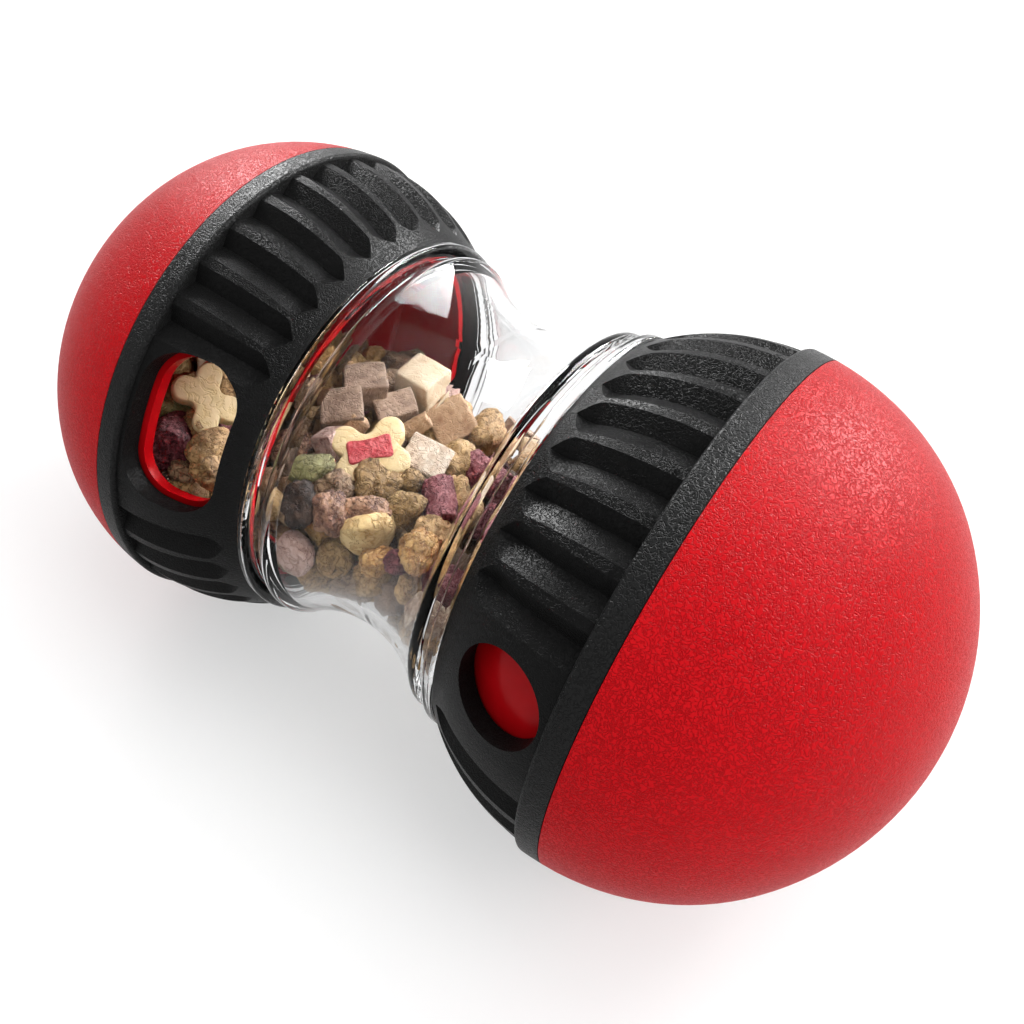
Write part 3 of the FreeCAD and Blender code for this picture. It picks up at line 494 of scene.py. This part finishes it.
# %% Turned forms
STICK_AROUND, STICK_RINGS = 64, 26
STICK_LENGTH = 1.15
END_RINGS, END_EDGE = 9, 0.97
STICK_STEPS = (5.3, 0, 1)
STICK_SCALE, CREASE_SCALE = 2.6, 2.2
STRETCH = 0.9
STICK_SWELL, STICK_CREASE = 0.09, 0.10
ROLL_EDGE, ROLL_TWIST, ROLL_DEPTH = 0.93, 17.0, 0.07


def turned(profile, around, outline):
    """A closed form from (out, up) pairs, first and last on the axis, with outline(angle, up) as its edge."""
    points = []
    rings = []
    for out, up in profile:
        if out == 0:
            rings.append([len(points)])
            points.append(Vector((0, 0, up)))
            continue
        rings.append(list(range(len(points), len(points) + around)))
        for index in range(around):
            angle = 2 * math.pi * index / around
            far = out * outline(angle, up)
            points.append(Vector((far * math.cos(angle), far * math.sin(angle), up)))
    faces = []
    for lower, upper in zip(rings, rings[1:]):
        for index in range(around):
            after = (index + 1) % around
            if len(lower) == 1:
                faces.append((lower[0], upper[after], upper[index]))
            elif len(upper) == 1:
                faces.append((lower[index], lower[after], upper[0]))
            else:
                faces.append((lower[index], lower[after], upper[after], upper[index]))
    return points, faces


def rolled_stick(seed, half_length=STICK_LENGTH):
    """A short rolled stick of radius one, creased along its length, with a spiral on each cut end."""
    ends = [(step / END_RINGS, half_length) for step in range(1, END_RINGS)]
    ends += [(END_EDGE, half_length * END_EDGE)]
    profile = [(0, -half_length)] + [(out, -up) for out, up in ends]
    profile += [(1.0, half_length * (2 * step / STICK_RINGS - 1)) for step in range(2, STICK_RINGS - 1)]
    profile += [(out, up) for out, up in reversed(ends)] + [(0, half_length)]
    away = seeded(seed, STICK_STEPS)

    def creased(angle, up):
        where = Vector((math.cos(angle), math.sin(angle), STRETCH * up)) * STICK_SCALE + away
        crease = STICK_CREASE * abs(noise.noise(where * CREASE_SCALE))
        return 1 + STICK_SWELL * noise.noise(where) + crease - STICK_CREASE / 2

    points, faces = turned(profile, STICK_AROUND, creased)
    for point in points:
        out = math.hypot(point.x, point.y)
        if abs(point.z) > ROLL_EDGE * half_length and out < ROLL_EDGE:
            roll = math.cos(math.atan2(point.y, point.x) + ROLL_TWIST * out)
            point.z -= math.copysign(ROLL_DEPTH * (1 - roll), point.z)
    return points, faces


print("corners of a stick:", len(rolled_stick(1)[0]))

# %% [markdown]
# Bone biscuits
# A bone biscuit is a stamped shape with a round lobe at each corner and drawn-in sides. Its edge is found
# by walking out from the middle until a soft union of four discs and a bar ends. The filling on top is found
# in the same way, as a small oblong with drawn-in sides, and stands a little proud of the biscuit.

# %% Bone biscuit
LOBE = (0.60, 0.42)
LOBE_SIZE = 0.39
BAR = (0.68, 0.46)
SOFT = 0.22
INLAY_HALF = (0.58, 0.27)
INLAY_FLARE = (0.20, 0.28)
INLAY_SOFT = 0.22
WALK_FROM, WALK_TO, WALK_STEP = 0.1, 1.4, 0.0005
BONE_AROUND, BONE_THICK = 120, 0.29
BONE_EDGE = [(0.5, 1.0), (0.88, 1.0), (0.95, 0.93), (0.99, 0.72)]
INLAY_AROUND, INLAY_RINGS = 96, 8
INLAY_LOW, INLAY_HIGH, INLAY_ROUND = 0.23, 0.34, 0.03
INLAY_CRUMB, INLAY_CRUMB_SCALE = 0.03, 9


def bone_field(x, y):
    """Below nought inside the bone: discs at the four corners and a bar between them, blended softly."""
    disc = math.hypot(abs(x) - LOBE[0], abs(y) - LOBE[1]) - LOBE_SIZE
    bar = max(abs(x) - BAR[0], abs(y) - BAR[1])
    blend = max(SOFT - abs(disc - bar), 0.0) / SOFT
    return min(disc, bar) - blend**2 * SOFT / 4


def inlay_field(x, y):
    """Below nought inside the filling: its four sides are drawn in and its corners are round."""
    end = abs(x) - INLAY_HALF[0] - INLAY_FLARE[0] * y**2
    side = abs(y) - INLAY_HALF[1] - INLAY_FLARE[1] * x**2
    blend = max(INLAY_SOFT - abs(end - side), 0.0) / INLAY_SOFT
    return max(end, side) + blend**2 * INLAY_SOFT / 4


def walked(field):
    """Outline of a shape, found by walking out from its middle to where its field turns positive."""

    def outline(angle, up):
        near, far = WALK_FROM, WALK_TO
        while far - near > WALK_STEP:
            middle = (near + far) / 2
            inside = field(middle * math.cos(angle), middle * math.sin(angle)) < 0
            near, far = (middle, far) if inside else (near, middle)
        return near

    return outline


def bone():
    """A bone biscuit, its half length about one."""
    edge = [(out, BONE_THICK * up) for out, up in BONE_EDGE]
    profile = [(0, -BONE_THICK)] + [(out, -up) for out, up in edge] + [(1.0, 0.0)]
    profile += [(out, up) for out, up in reversed(edge)] + [(0, BONE_THICK)]
    return turned(profile, BONE_AROUND, walked(bone_field))


def inlay():
    """The filling of a bone biscuit, sunk in its top and crumbly."""
    profile = [(0, INLAY_LOW), (0.98, INLAY_LOW), (1.0, INLAY_HIGH - INLAY_ROUND), (0.94, INLAY_HIGH)]
    profile += [(step / INLAY_RINGS, INLAY_HIGH) for step in range(INLAY_RINGS - 1, 0, -1)]
    profile += [(0, INLAY_HIGH)]
    points, faces = turned(profile, INLAY_AROUND, walked(inlay_field))
    for point in points:
        if point.z > INLAY_LOW:
            point.z += INLAY_CRUMB * noise.noise(point * INLAY_CRUMB_SCALE)
    return points, faces


print("corners of a bone and its filling:", len(bone()[0]), len(inlay()[0]))

# %% [markdown]
# Finishes of the treats
# Baked dough is matt, mottled and crumbly. Its colour is darker in its creases and pits, where the bump
# sinks: painted shade. One recipe serves all the treats: a blotchy noise picks between a dark, a middle and
# a light dough colour, cells make the pits, the lines of another noise make the creases, and a fine one the
# crumbs. Pressed dough, as in the cubes, gets next to no painted shade in its creases, and the baked orange
# and ruddy lumps have a greasy gloss. Each treat also stores a tone of its own on its corners, so that
# neighbours differ as pieces from one bag do.

# %% Recipe of the dough
TONE_SHARE, TONE_OFFSET = 0.55, -0.62
PIT_SHADE_SHARE, BLOTCH_SHARE = -0.22, 1.5
CREASE_WIDTH = 0.06
DARK_AT, MIDDLE_AT, LIGHT_AT = 0.04, 0.36, 0.76
PIT_DEPTH, CRUMB_HEIGHT = -0.8, 0.8


def dough(name, shades, grain, depth, crease, rough, shine):
    """Dough: three colours, crumb size, bump depth, painted shade in creases, roughness range and shine."""
    finish, tree, shader = start_finish(name)
    place = add(tree, "TexCoord").outputs["Object"]
    own = add(tree, "Attribute", attribute_name="tone").outputs["Fac"]
    blotch = add(tree, "TexNoise", {"Vector": place, "Scale": 0.40 / grain, "Detail": 6.0, "Roughness": 0.7})
    pits = add(tree, "TexVoronoi", {"Vector": place, "Scale": 1.0 / grain}).outputs["Distance"]
    creases = add(tree, "TexNoise", {"Vector": place, "Scale": 0.8 / grain, "Detail": 3.0, "Distortion": 0.5})
    ridge = lines_of(tree, creases.outputs["Fac"], CREASE_WIDTH)
    # The tone is lowered in the pits and along the creases, where the bump sinks: painted shade.
    first = maths(tree, "MULTIPLY_ADD", own, TONE_SHARE, TONE_OFFSET)
    second = maths(tree, "MULTIPLY_ADD", pits, PIT_SHADE_SHARE, first)
    third = maths(tree, "MULTIPLY_ADD", ridge, crease, second)
    level = maths(tree, "MULTIPLY_ADD", blotch.outputs["Fac"], BLOTCH_SHARE, third)
    stops = list(zip((DARK_AT, MIDDLE_AT, LIGHT_AT), shades))
    join(tree, ramp(tree, level, stops), shader, "Base Color")
    gloss = add(tree, "MapRange", {"Value": level, "To Min": rough[1], "To Max": rough[0]}).outputs["Result"]
    join(tree, gloss, shader, "Roughness")
    shader.inputs["Specular IOR Level"].default_value = shine
    fine = add(tree, "TexNoise", {"Vector": place, "Scale": 2.4 / grain, "Detail": 4.0, "Roughness": 0.7})
    low = maths(tree, "MULTIPLY_ADD", pits, PIT_DEPTH, ridge)
    height = maths(tree, "MULTIPLY_ADD", fine.outputs["Fac"], CRUMB_HEIGHT, low)
    bump = add(tree, "Bump", {"Height": height, "Distance": depth}).outputs["Normal"]
    join(tree, bump, shader, "Normal")
    return finish


print("one recipe for every dough")

# %% Treat finishes
# A look's crease is the strength of the painted shade along the creases; pressed dough gets little.
Look = namedtuple("Look", "grain depth crease rough shine", defaults=(0.22, (0.55, 0.85), 0.3))
PRESSED_CREASE_SHADE = 0.05
LOOKS = {
    "tan": Look(0.0009, 0.00022),
    "olive": Look(0.0009, 0.00025),
    "brown": Look(0.0010, 0.0003),
    "dark": Look(0.0010, 0.0004),
    "ruddy": Look(0.0010, 0.0004, rough=(0.30, 0.6), shine=0.4),
    "orange": Look(0.0009, 0.0004, rough=(0.25, 0.5), shine=0.4),
    "crust": Look(0.0011, 0.0002),
    "cream": Look(0.0012, 0.00006, PRESSED_CREASE_SHADE),
    "biscuit": Look(0.0016, 0.00005),
    "peach": Look(0.0009, 0.00008, PRESSED_CREASE_SHADE),
    "taupe": Look(0.0010, 0.00010, PRESSED_CREASE_SHADE),
    "speckled": Look(0.0010, 0.00012, PRESSED_CREASE_SHADE),
    "maroon": Look(0.0008, 0.0004),
    "green": Look(0.0011, 0.0002),
    "pink": Look(0.0010, 0.0002),
    "filling": Look(0.0006, 0.00015),
}
SHADES = {
    "tan": ((0.080, 0.038, 0.013), (0.30, 0.170, 0.064), (0.51, 0.32, 0.14)),
    "olive": ((0.060, 0.030, 0.009), (0.23, 0.130, 0.046), (0.41, 0.258, 0.105)),
    "brown": ((0.045, 0.020, 0.010), (0.17, 0.090, 0.045), (0.36, 0.23, 0.13)),
    "dark": ((0.007, 0.003, 0.002), (0.028, 0.012, 0.006), (0.11, 0.055, 0.035)),
    "ruddy": ((0.045, 0.014, 0.009), (0.20, 0.085, 0.050), (0.52, 0.29, 0.17)),
    "orange": ((0.18, 0.06, 0.012), (0.45, 0.20, 0.050), (0.74, 0.44, 0.16)),
    "crust": ((0.20, 0.09, 0.026), (0.44, 0.26, 0.085), (0.66, 0.47, 0.22)),
    "cream": ((0.32, 0.19, 0.09), (0.50, 0.38, 0.25), (0.61, 0.50, 0.36)),
    "biscuit": ((0.50, 0.33, 0.14), (0.60, 0.45, 0.23), (0.67, 0.52, 0.30)),
    "peach": ((0.24, 0.12, 0.06), (0.38, 0.23, 0.125), (0.50, 0.33, 0.20)),
    "taupe": ((0.11, 0.062, 0.038), (0.23, 0.145, 0.097), (0.37, 0.255, 0.18)),
    "speckled": ((0.17, 0.09, 0.05), (0.44, 0.34, 0.25), (0.59, 0.51, 0.41)),
    "maroon": ((0.035, 0.003, 0.006), (0.17, 0.030, 0.040), (0.40, 0.14, 0.15)),
    "green": ((0.045, 0.040, 0.009), (0.13, 0.115, 0.036), (0.23, 0.21, 0.085)),
    "pink": ((0.18, 0.08, 0.065), (0.37, 0.22, 0.18), (0.52, 0.36, 0.305)),
    "filling": ((0.32, 0.016, 0.022), (0.47, 0.040, 0.050), (0.60, 0.12, 0.12)),
}
DOUGHS = {name: dough("dough_" + name, SHADES[name], *look) for name, look in LOOKS.items()}
print("dough finishes:", sorted(DOUGHS))

# %% [markdown]
# The treats that show most
# A few treats lie on top of the pile or against the clear wall, where a glance falls on them first: the
# bone biscuit, the cubes around it, the maroon roll. These are placed one by one, as a food stylist would. A
# turn is given the way one would hold a treat up to look at it: facing the viewer, then leaned back, swayed
# sideways, and spun on its own axis. The camera looks down on the toy, so a lean of LEVEL lays a treat flat.

# %% Treats placed one by one
LEVEL = 45.6
BISCUIT_TONE, FILLING_TONE = 0.6, 0.5
Treat = namedtuple("Treat", "sort dough form centre size turn tone")


def held(lean=0.0, sway=0.0, spin=0.0):
    """A turn as seen from the camera: leaned back, swayed to the right and spun, in degrees."""
    lean, sway, spin = (math.radians(angle) for angle in (-lean, sway, spin))
    back = Matrix.Rotation(lean, 3, "X")
    aside = Matrix.Rotation(sway, 3, "Y")
    return VIEWER @ back @ aside @ Matrix.Rotation(spin, 3, "Z")


def cube_treat(colour, centre, half, turn, seed, tone=0.5):
    """A cut cube with its half sizes in millimetres."""
    return Treat("cube", colour, cut_cube(seed, half), Vector(centre), 1.0, turn, tone)


def lump_treat(colour, centre, size, press, turn, seed, tone=0.5, fold=0.16, crumb=0.06):
    """A baked lump, pressed along its own axes."""
    return Treat("lump", colour, lump(seed, press, fold, crumb, FINE), Vector(centre), size, turn, tone)


def tablet_treat(colour, centre, size, thick, turn, seed, tone=0.5, bend=0.0):
    """A round tablet, flat or bent."""
    return Treat("tablet", colour, tablet(seed, thick, FINE, bend), Vector(centre), size, turn, tone)


def stick_treat(colour, centre, size, length, turn, seed, tone=0.5):
    """A rolled stick, its length given in radii."""
    return Treat("stick", colour, rolled_stick(seed, length), Vector(centre), size, turn, tone)


def bone_treat(centre, size, turn, filled):
    """A bone biscuit, with its filling as a treat of its own."""
    treats = [Treat("bone", "biscuit", bone(), Vector(centre), size, turn, BISCUIT_TONE)]
    if filled:
        treats.append(Treat("filling", "filling", inlay(), Vector(centre), size, turn, FILLING_TONE))
    return treats


print("ways to place a treat: cube, lump, tablet, stick and bone")

# %% Treats on top of the pile and at the window
chamber_shown = [
    cube_treat("cream", (-17.0, 11.4, 2.2), (3.5, 3.4, 3.3), held(LEVEL, 0, -40), 1, 0.8),
    cube_treat("peach", (-7.5, 8.0, 1.2), (3.6, 3.6, 3.2), held(10, -10, 30), 2, 0.6),
    cube_treat("speckled", (-5.0, -3.2, 2.4), (3.7, 3.2, 2.9), held(34, 8, -28), 3, 0.7),
    cube_treat("taupe", (-15.9, 2.6, 3.4), (3.5, 2.6, 2.2), held(36, -6, 14), 4, 0.7),
    stick_treat("peach", (-10.2, 0.9, 4.8), 1.5, 1.6, held(70, 58, 0), 5, 0.6),
    *bone_treat((-11.4, -9.4, 6.2), 6.0, held(22, -4, 10), True),
    lump_treat("green", (-15.4, -19.0, 8.2), 3.3, (1.15, 0.68, 0.62), held(20, 0, 8), 6, 0.6, 0.08),
    lump_treat("dark", (-13.4, -23.2, 5.6), 3.3, (0.92, 1.10, 0.9), held(0, 0, 20), 7, 0.3, 0.22, 0.10),
    lump_treat("brown", (-11.4, -17.6, 5.6), 3.1, (1.1, 0.95, 0.8), held(30, 0, 0), 8, 0.6, 0.2),
    lump_treat("ruddy", (-8.8, -21.4, 5.2), 3.3, (0.95, 1.1, 0.85), held(10, 0, 30), 9, 0.4, 0.22, 0.08),
    lump_treat("ruddy", (-4.8, -18.2, 5.8), 3.2, (1.15, 0.72, 0.7), held(20, 0, -6), 10, 0.7, 0.2, 0.08),
    lump_treat("olive", (-7.2, -12.6, 4.6), 3.9, (1.1, 0.95, 0.75), held(30, 0, 0), 11, 0.5, 0.18),
    lump_treat("olive", (-0.7, -13.8, 5.2), 3.1, (1.08, 0.86, 0.8), held(20, 0, 5), 12, 0.65, 0.12),
    lump_treat("olive", (-3.2, -9.2, 5.2), 2.1, (1.1, 0.85, 0.8), held(20, 0, 0), 13, 0.4),
    stick_treat("maroon", (3.2, -9.7, 4.6), 2.9, 1.35, held(-50, 4, 0), 14, 0.65),
    stick_treat("maroon", (3.8, 1.2, 2.4), 2.6, 1.25, held(-40, 35, 0), 15, 0.6),
    lump_treat("tan", (-0.6, 0.8, 2.0), 3.6, (0.9, 1.15, 0.85), held(20, 0, 20), 16, 0.7, 0.14),
    lump_treat("tan", (-0.8, 9.3, 1.4), 3.5, (1.0, 1.05, 0.85), held(20, 0, 0), 17, 0.55, 0.10),
    tablet_treat("crust", (-2.7, -20.2, 3.4), 4.3, 0.36, held(-52, 4, 10), 18, 0.75, -0.30),
    tablet_treat("olive", (-7.6, -21.9, -3.6), 3.0, 0.52, held(-12, -10, 0), 19, 0.55),
    tablet_treat("pink", (-13.4, -24.8, -4.2), 3.4, 0.45, held(-30, -34, 0), 20, 0.7),
    lump_treat("orange", (0.0, -21.4, 0.8), 2.7, (1.05, 0.85, 0.75), held(0, 0, 8), 21, 0.55, 0.14, 0.10),
    lump_treat("orange", (6.2, -18.9, 4.8), 3.3, (0.95, 1.08, 0.85), held(0, 0, 20), 22, 0.7, 0.10, 0.12),
    lump_treat("maroon", (3.4, -20.0, 2.0), 2.2, (1.1, 0.9, 0.8), held(), 23, 0.3),
    tablet_treat("brown", (-5.5, -20.0, -11.0), 3.7, 0.50, held(-34, -12, 30), 24, 0.75),
    lump_treat("taupe", (2.8, -20.3, -6.4), 3.5, (0.85, 1.12, 0.8), held(-30, 0, 18), 25, 0.6, 0.12),
    lump_treat("tan", (6.8, -21.3, -0.4), 2.7, (0.85, 1.15, 0.8), held(-20, 0, 0), 26, 0.7),
    lump_treat("tan", (4.6, -20.4, -12.0), 2.4, (1.1, 0.85, 0.8), held(-40, 0, 20), 27, 0.75),
    lump_treat("tan", (5.8, -14.6, 4.6), 3.3, (1.05, 0.80, 0.8), held(10, 0, -20), 28, 0.7),
    lump_treat("tan", (4.2, -6.9, 3.2), 3.5, (0.85, 1.2, 0.8), held(10, 0, -10), 29, 0.75),
]
left_shown = [
    cube_treat("taupe", (-22.2, 2.0, 5.6), (3.6, 3.2, 2.6), held(LEVEL, 0, 6), 30, 0.5),
    cube_treat("taupe", (-21.6, -4.3, 5.0), (3.5, 3.1, 3.0), held(26, -4, 4), 31, 0.4),
    lump_treat("tan", (-27.1, 3.0, 4.0), 3.4, (1.1, 0.9, 0.8), held(20, 0, 0), 32, 0.5),
    lump_treat("brown", (-27.3, -4.2, 4.2), 3.4, (1.0, 0.95, 0.8), held(20, 0, 40), 33, 0.5),
    *bone_treat((-36.2, -19.6, 9.6), 5.3, held(16, 10, -58), False),
    lump_treat("green", (-42.2, -22.4, 7.2), 3.8, (1.1, 0.8, 0.75), held(20, 0, 10), 34, 0.7, 0.12),
    stick_treat("maroon", (-37.4, -26.4, 5.4), 3.7, 0.95, held(-30, -10, 40), 35, 0.3),
    lump_treat("tan", (-35.1, -22.6, 7.4), 2.8, (0.85, 1.1, 0.8), held(10, 0, 30), 36, 0.45),
    lump_treat("tan", (-30.4, -25.6, 7.6), 3.4, (1.15, 0.85, 0.8), held(10, 0, 25), 37, 0.65, 0.12, 0.09),
    lump_treat("brown", (-32.3, -29.0, 3.6), 2.5, (1.05, 0.9, 0.8), held(), 38, 0.6),
    lump_treat("tan", (-28.0, -27.7, 6.3), 3.1, (0.85, 1.1, 0.7), held(0, 0, 20), 39, 0.4),
    lump_treat("tan", (-43.2, -16.6, 5.8), 3.4, (1.1, 0.9, 0.8), held(20, 0, 0), 40, 0.5),
    lump_treat("tan", (-39.8, -12.8, 6.8), 3.6, (1.2, 0.9, 0.8), held(20, 0, -30), 41, 0.45),
]
print("placed by hand:", len(chamber_shown), "in the chamber,", len(left_shown), "in the left end")

# %% [markdown]
# The rest of the pile
# Every other treat takes the place of one imported solid: a tablet becomes a lump or a flat tablet, a cube a
# cut cube, a stick a rolled stick. Its dough is drawn by chance in the shares of the photographed mix. A
# imported solid that would run into a listed treat is the one that the listed treat stands for, and
# is passed over.

# %% Dressing the imported places
CHAMBER_SEED, LEFT_SEED = 100, 900
PLUMP = 1.10
CROWD = 0.70
FINE_NEAR = 12.0
TONES = (0.15, 0.85)
CUBE_HALF, CUBE_WIDE, CUBE_HIGH = 0.66, (0.85, 1.0), (0.75, 1.0)
STICK_SIZE = 0.70
TABLET_SHARE, TABLET_THICK = 0.25, (0.5, 0.7)
LUMP_SIZE, LUMP_WIDE, LUMP_HIGH = 1.04, (0.8, 1.0), (0.7, 0.95)
LUMP_FOLD, LUMP_CRUMB = (0.08, 0.2), 0.06
MIX = {
    "kibble": [
        ("tan", 30),
        ("olive", 22),
        ("brown", 16),
        ("dark", 5),
        ("orange", 6),
        ("ruddy", 6),
        ("green", 3),
    ],
    "cubes": [("cream", 18), ("taupe", 26), ("peach", 20), ("speckled", 14), ("pink", 6), ("tan", 16)],
    "sticks": [("maroon", 45), ("brown", 30), ("peach", 25)],
}


def draw(mix, chance):
    """One name from a mix of names and shares."""
    shares = np.array([share for _, share in mix], float)
    return mix[int(chance.choice(len(mix), p=shares / shares.sum()))][0]


def dress(spot, seed, chance):
    """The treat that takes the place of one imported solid."""
    colour = draw(MIX[spot.sort], chance)
    tone = float(chance.uniform(*TONES))
    reach = spot.reach * PLUMP
    across = math.hypot(spot.centre.y, spot.centre.z)
    fineness = FINE if across > FINE_NEAR else COARSE
    if spot.sort == "cubes":
        side = spot.reach * CUBE_HALF
        half = side * Vector((1.0, chance.uniform(*CUBE_WIDE), chance.uniform(*CUBE_HIGH)))
        return Treat("cube", colour, cut_cube(seed, half), spot.centre, 1.0, spot.turn, tone)
    if spot.sort == "sticks":
        return Treat("stick", colour, rolled_stick(seed), spot.centre, reach * STICK_SIZE, spot.turn, tone)
    if chance.uniform() < TABLET_SHARE:
        form = tablet(seed, chance.uniform(*TABLET_THICK), fineness)
        return Treat("tablet", colour, form, spot.centre, reach, spot.turn, tone)
    press = (1.0, chance.uniform(*LUMP_WIDE), chance.uniform(*LUMP_HIGH))
    form = lump(seed, press, chance.uniform(*LUMP_FOLD), LUMP_CRUMB, fineness)
    return Treat("lump", colour, form, spot.centre, reach * LUMP_SIZE, spot.turn, tone)


def reach_of(treat):
    """How far a treat reaches from its middle, in millimetres, on average over its corners."""
    return treat.size * sum(point.length for point in treat.form[0]) / len(treat.form[0])


def fill(spots, shown, seed):
    """The shown treats, and a dressed treat for every packed place that they leave free."""
    chance = np.random.default_rng(seed)
    reaches = [(treat.centre, reach_of(treat)) for treat in shown]
    treats = list(shown)
    for index, spot in enumerate(spots):
        dressed = dress(spot, seed + index, chance)
        if all((spot.centre - centre).length > CROWD * (spot.reach + reach) for centre, reach in reaches):
            treats.append(dressed)
    return treats


chamber_treats = fill(chamber_spots, chamber_shown, CHAMBER_SEED)
left_treats = fill(left_spots, left_shown, LEFT_SEED)
print("in the chamber:", len(chamber_treats), "treats, in the left end:", len(left_treats))

# %% [markdown]
# Joining treats into pieces
# All treats of one dough in one part of the toy become one piece, which keeps the scene light. A piece
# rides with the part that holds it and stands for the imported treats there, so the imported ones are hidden.

# %% Pieces of the pile
PACKED_AS = {
    "lump": "kibble",
    "tablet": "kibble",
    "cube": "cubes",
    "bone": "cubes",
    "filling": "cubes",
    "stick": "sticks",
}


def gather(title, body, packed, treats):
    """Joins treats of one sort and dough into one piece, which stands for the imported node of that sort."""
    groups = {}
    for treat in treats:
        groups.setdefault((PACKED_AS[treat.sort], treat.dough), []).append(treat)
    for (sort, colour), group in sorted(groups.items()):
        points, faces, tones = [], [], []
        for treat in group:
            start = len(points)
            sized = treat.turn @ Matrix.Scale(treat.size * MM, 3)
            placed = Matrix.Translation(treat.centre * MM) @ sized.to_4x4()
            points += [placed @ point for point in treat.form[0]]
            faces += [[start + corner for corner in face] for face in treat.form[1]]
            tones += [treat.tone] * len(treat.form[0])
        mesh = bpy.data.meshes.new("%s_%s_%s" % (title, colour, sort))
        mesh.from_pydata(points, [], faces)
        mesh.attributes.new("tone", "FLOAT", "POINT").data.foreach_set("value", tones)
        mesh.shade_smooth()
        mesh.materials.append(DOUGHS[colour])
        piece = bpy.data.objects.new(mesh.name, mesh)
        bpy.context.scene.collection.objects.link(piece)
        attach(piece, body)
        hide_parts(packed + sort)
        print(piece.name, len(group), "treats,", len(faces), "faces")


gather("chamber", "chamber", "chamber_", chamber_treats)
gather("left", "left_grip", "left_end_", left_treats)

# %% [markdown]
# Floor
# The scene is a studio shot on a white sweep. The floor takes the toy's shadow, so its colour stays a
# pale grey that the lamps light to a white. What the camera, a gloss or the clear plastic sees of it also
# gets a painted glow of its own, weaker near the toy and stronger farther out, so that the floor darkens in
# an oval round the toy: painted shade, on top of its cast shadow. The background is white.

# %% Floor
FLOOR_LEVEL = -40.0 * MM
FLOOR_SIZE = 3.0
FLOOR_STOPS = [(0.0, grey(0.54)), (1.0, grey(0.56))]
GLOW_NEAR, GLOW_FAR = 0.46, 0.62
GLOW_FROM, GLOW_TO = 0.05, 0.25
SHADOW_LENGTH = (0.5, 1.0, 1.0)


def seen_rays(tree):
    """One for what the camera, a gloss or the clear plastic sees, nought for the light on a surface."""
    path = add(tree, "LightPath").outputs
    shown = maths(tree, "MAXIMUM", path["Is Camera Ray"], path["Is Glossy Ray"])
    return maths(tree, "MAXIMUM", shown, path["Is Transmission Ray"])


floor_mesh = bpy.data.meshes.new("floor")
form = bmesh.new()
bmesh.ops.create_grid(form, x_segments=8, y_segments=8, size=FLOOR_SIZE)
form.to_mesh(floor_mesh)
form.free()
floor = bpy.data.objects.new("floor", floor_mesh)
bpy.context.scene.collection.objects.link(floor)
floor.location.z = FLOOR_LEVEL
floor_white, tree, shader = start_finish("floor_white")
shader.inputs["Roughness"].default_value = 0.9
shader.inputs["Specular IOR Level"].default_value = 0.1
where = add(tree, "TexCoord").outputs["Object"]
speck = add(tree, "TexNoise", {"Vector": where, "Scale": 30.0}).outputs["Fac"]
join(tree, ramp(tree, speck, FLOOR_STOPS), shader, "Base Color")
# The glow is weakest in an oval round the toy, so the floor darkens there: painted shade.
oval = add(tree, "VectorMath", {0: where, 1: SHADOW_LENGTH}, operation="MULTIPLY").outputs["Vector"]
far = add(tree, "VectorMath", {0: oval}, operation="LENGTH").outputs["Value"]
reaches = {"Value": far, "From Min": GLOW_FROM, "From Max": GLOW_TO, "To Min": GLOW_NEAR, "To Max": GLOW_FAR}
growing = add(tree, "MapRange", reaches, interpolation_type="SMOOTHSTEP").outputs["Result"]
share = maths(tree, "MULTIPLY", seen_rays(tree), growing)
glow = add(tree, "Emission", {"Color": WHITE, "Strength": share})
lit = add(tree, "AddShader", {0: shader.outputs["BSDF"], 1: glow.outputs["Emission"]})
end_with(tree, lit.outputs["Shader"])
floor_mesh.materials.append(floor_white)
print("floor at", round(floor.location.z / MM, 1), "mm")

# %% [markdown]
# Room
# A studio with white walls lights the toy from all sides. The room's light on the toy stays below full
# strength, so that the colours render about as they are written, while the camera, the glosses and the
# clear plastic see white.

# %% Room
ROOM_LIGHT = 0.70
SEEN_LIGHT = 1.0
world = bpy.data.worlds.new("room")
bpy.context.scene.world = world
world.use_nodes = True
tree = world.node_tree
tree.nodes.clear()
levels = {"Value": seen_rays(tree), "To Min": ROOM_LIGHT, "To Max": SEEN_LIGHT}
strength = add(tree, "MapRange", levels).outputs["Result"]
background = add(tree, "Background", {"Color": WHITE, "Strength": strength})
add(tree, "OutputWorld", {"Surface": background.outputs["Background"]})
print("room light:", ROOM_LIGHT)

# %% [markdown]
# Lamps
# Four soft square lamps light the toy: one wide one overhead, and weaker ones behind it and at its sides.
# The soft highlights on the domes come from two broad panels, which show only as reflections. That keeps
# the highlights as clear as in the photograph without any more light on the red plastic, which would turn
# it pink.

# %% Lamps
Lamp = namedtuple("Lamp", "place size power gloss_only", defaults=(False,))
LAMPS = {
    "top": Lamp((0.04, 0.12, 0.60), 0.45, 1.4),
    "back": Lamp((0.22, 0.50, 0.38), 0.18, 0.9),
    "right": Lamp((0.50, 0.05, 0.40), 0.35, 1.7),
    "left": Lamp((-0.45, 0.30, 0.27), 0.14, 0.6),
    "sheen_right": Lamp((0.25, 0.50, 0.32), 0.38, 25.0, True),
    "sheen_left": Lamp((-0.46, 0.32, 0.29), 0.30, 14.0, True),
}
for name, lamp in LAMPS.items():
    data = bpy.data.lights.new(name, "AREA")
    data.size = lamp.size
    data.energy = lamp.power
    thing = bpy.data.objects.new(name, data)
    bpy.context.scene.collection.objects.link(thing)
    aim = (-Vector(lamp.place)).to_track_quat("-Z", "Y").to_matrix()
    thing.matrix_world = Matrix.Translation(lamp.place) @ aim.to_4x4()
    thing.visible_diffuse = not lamp.gloss_only
    thing.visible_transmission = not lamp.gloss_only
print("lamps:", list(LAMPS))
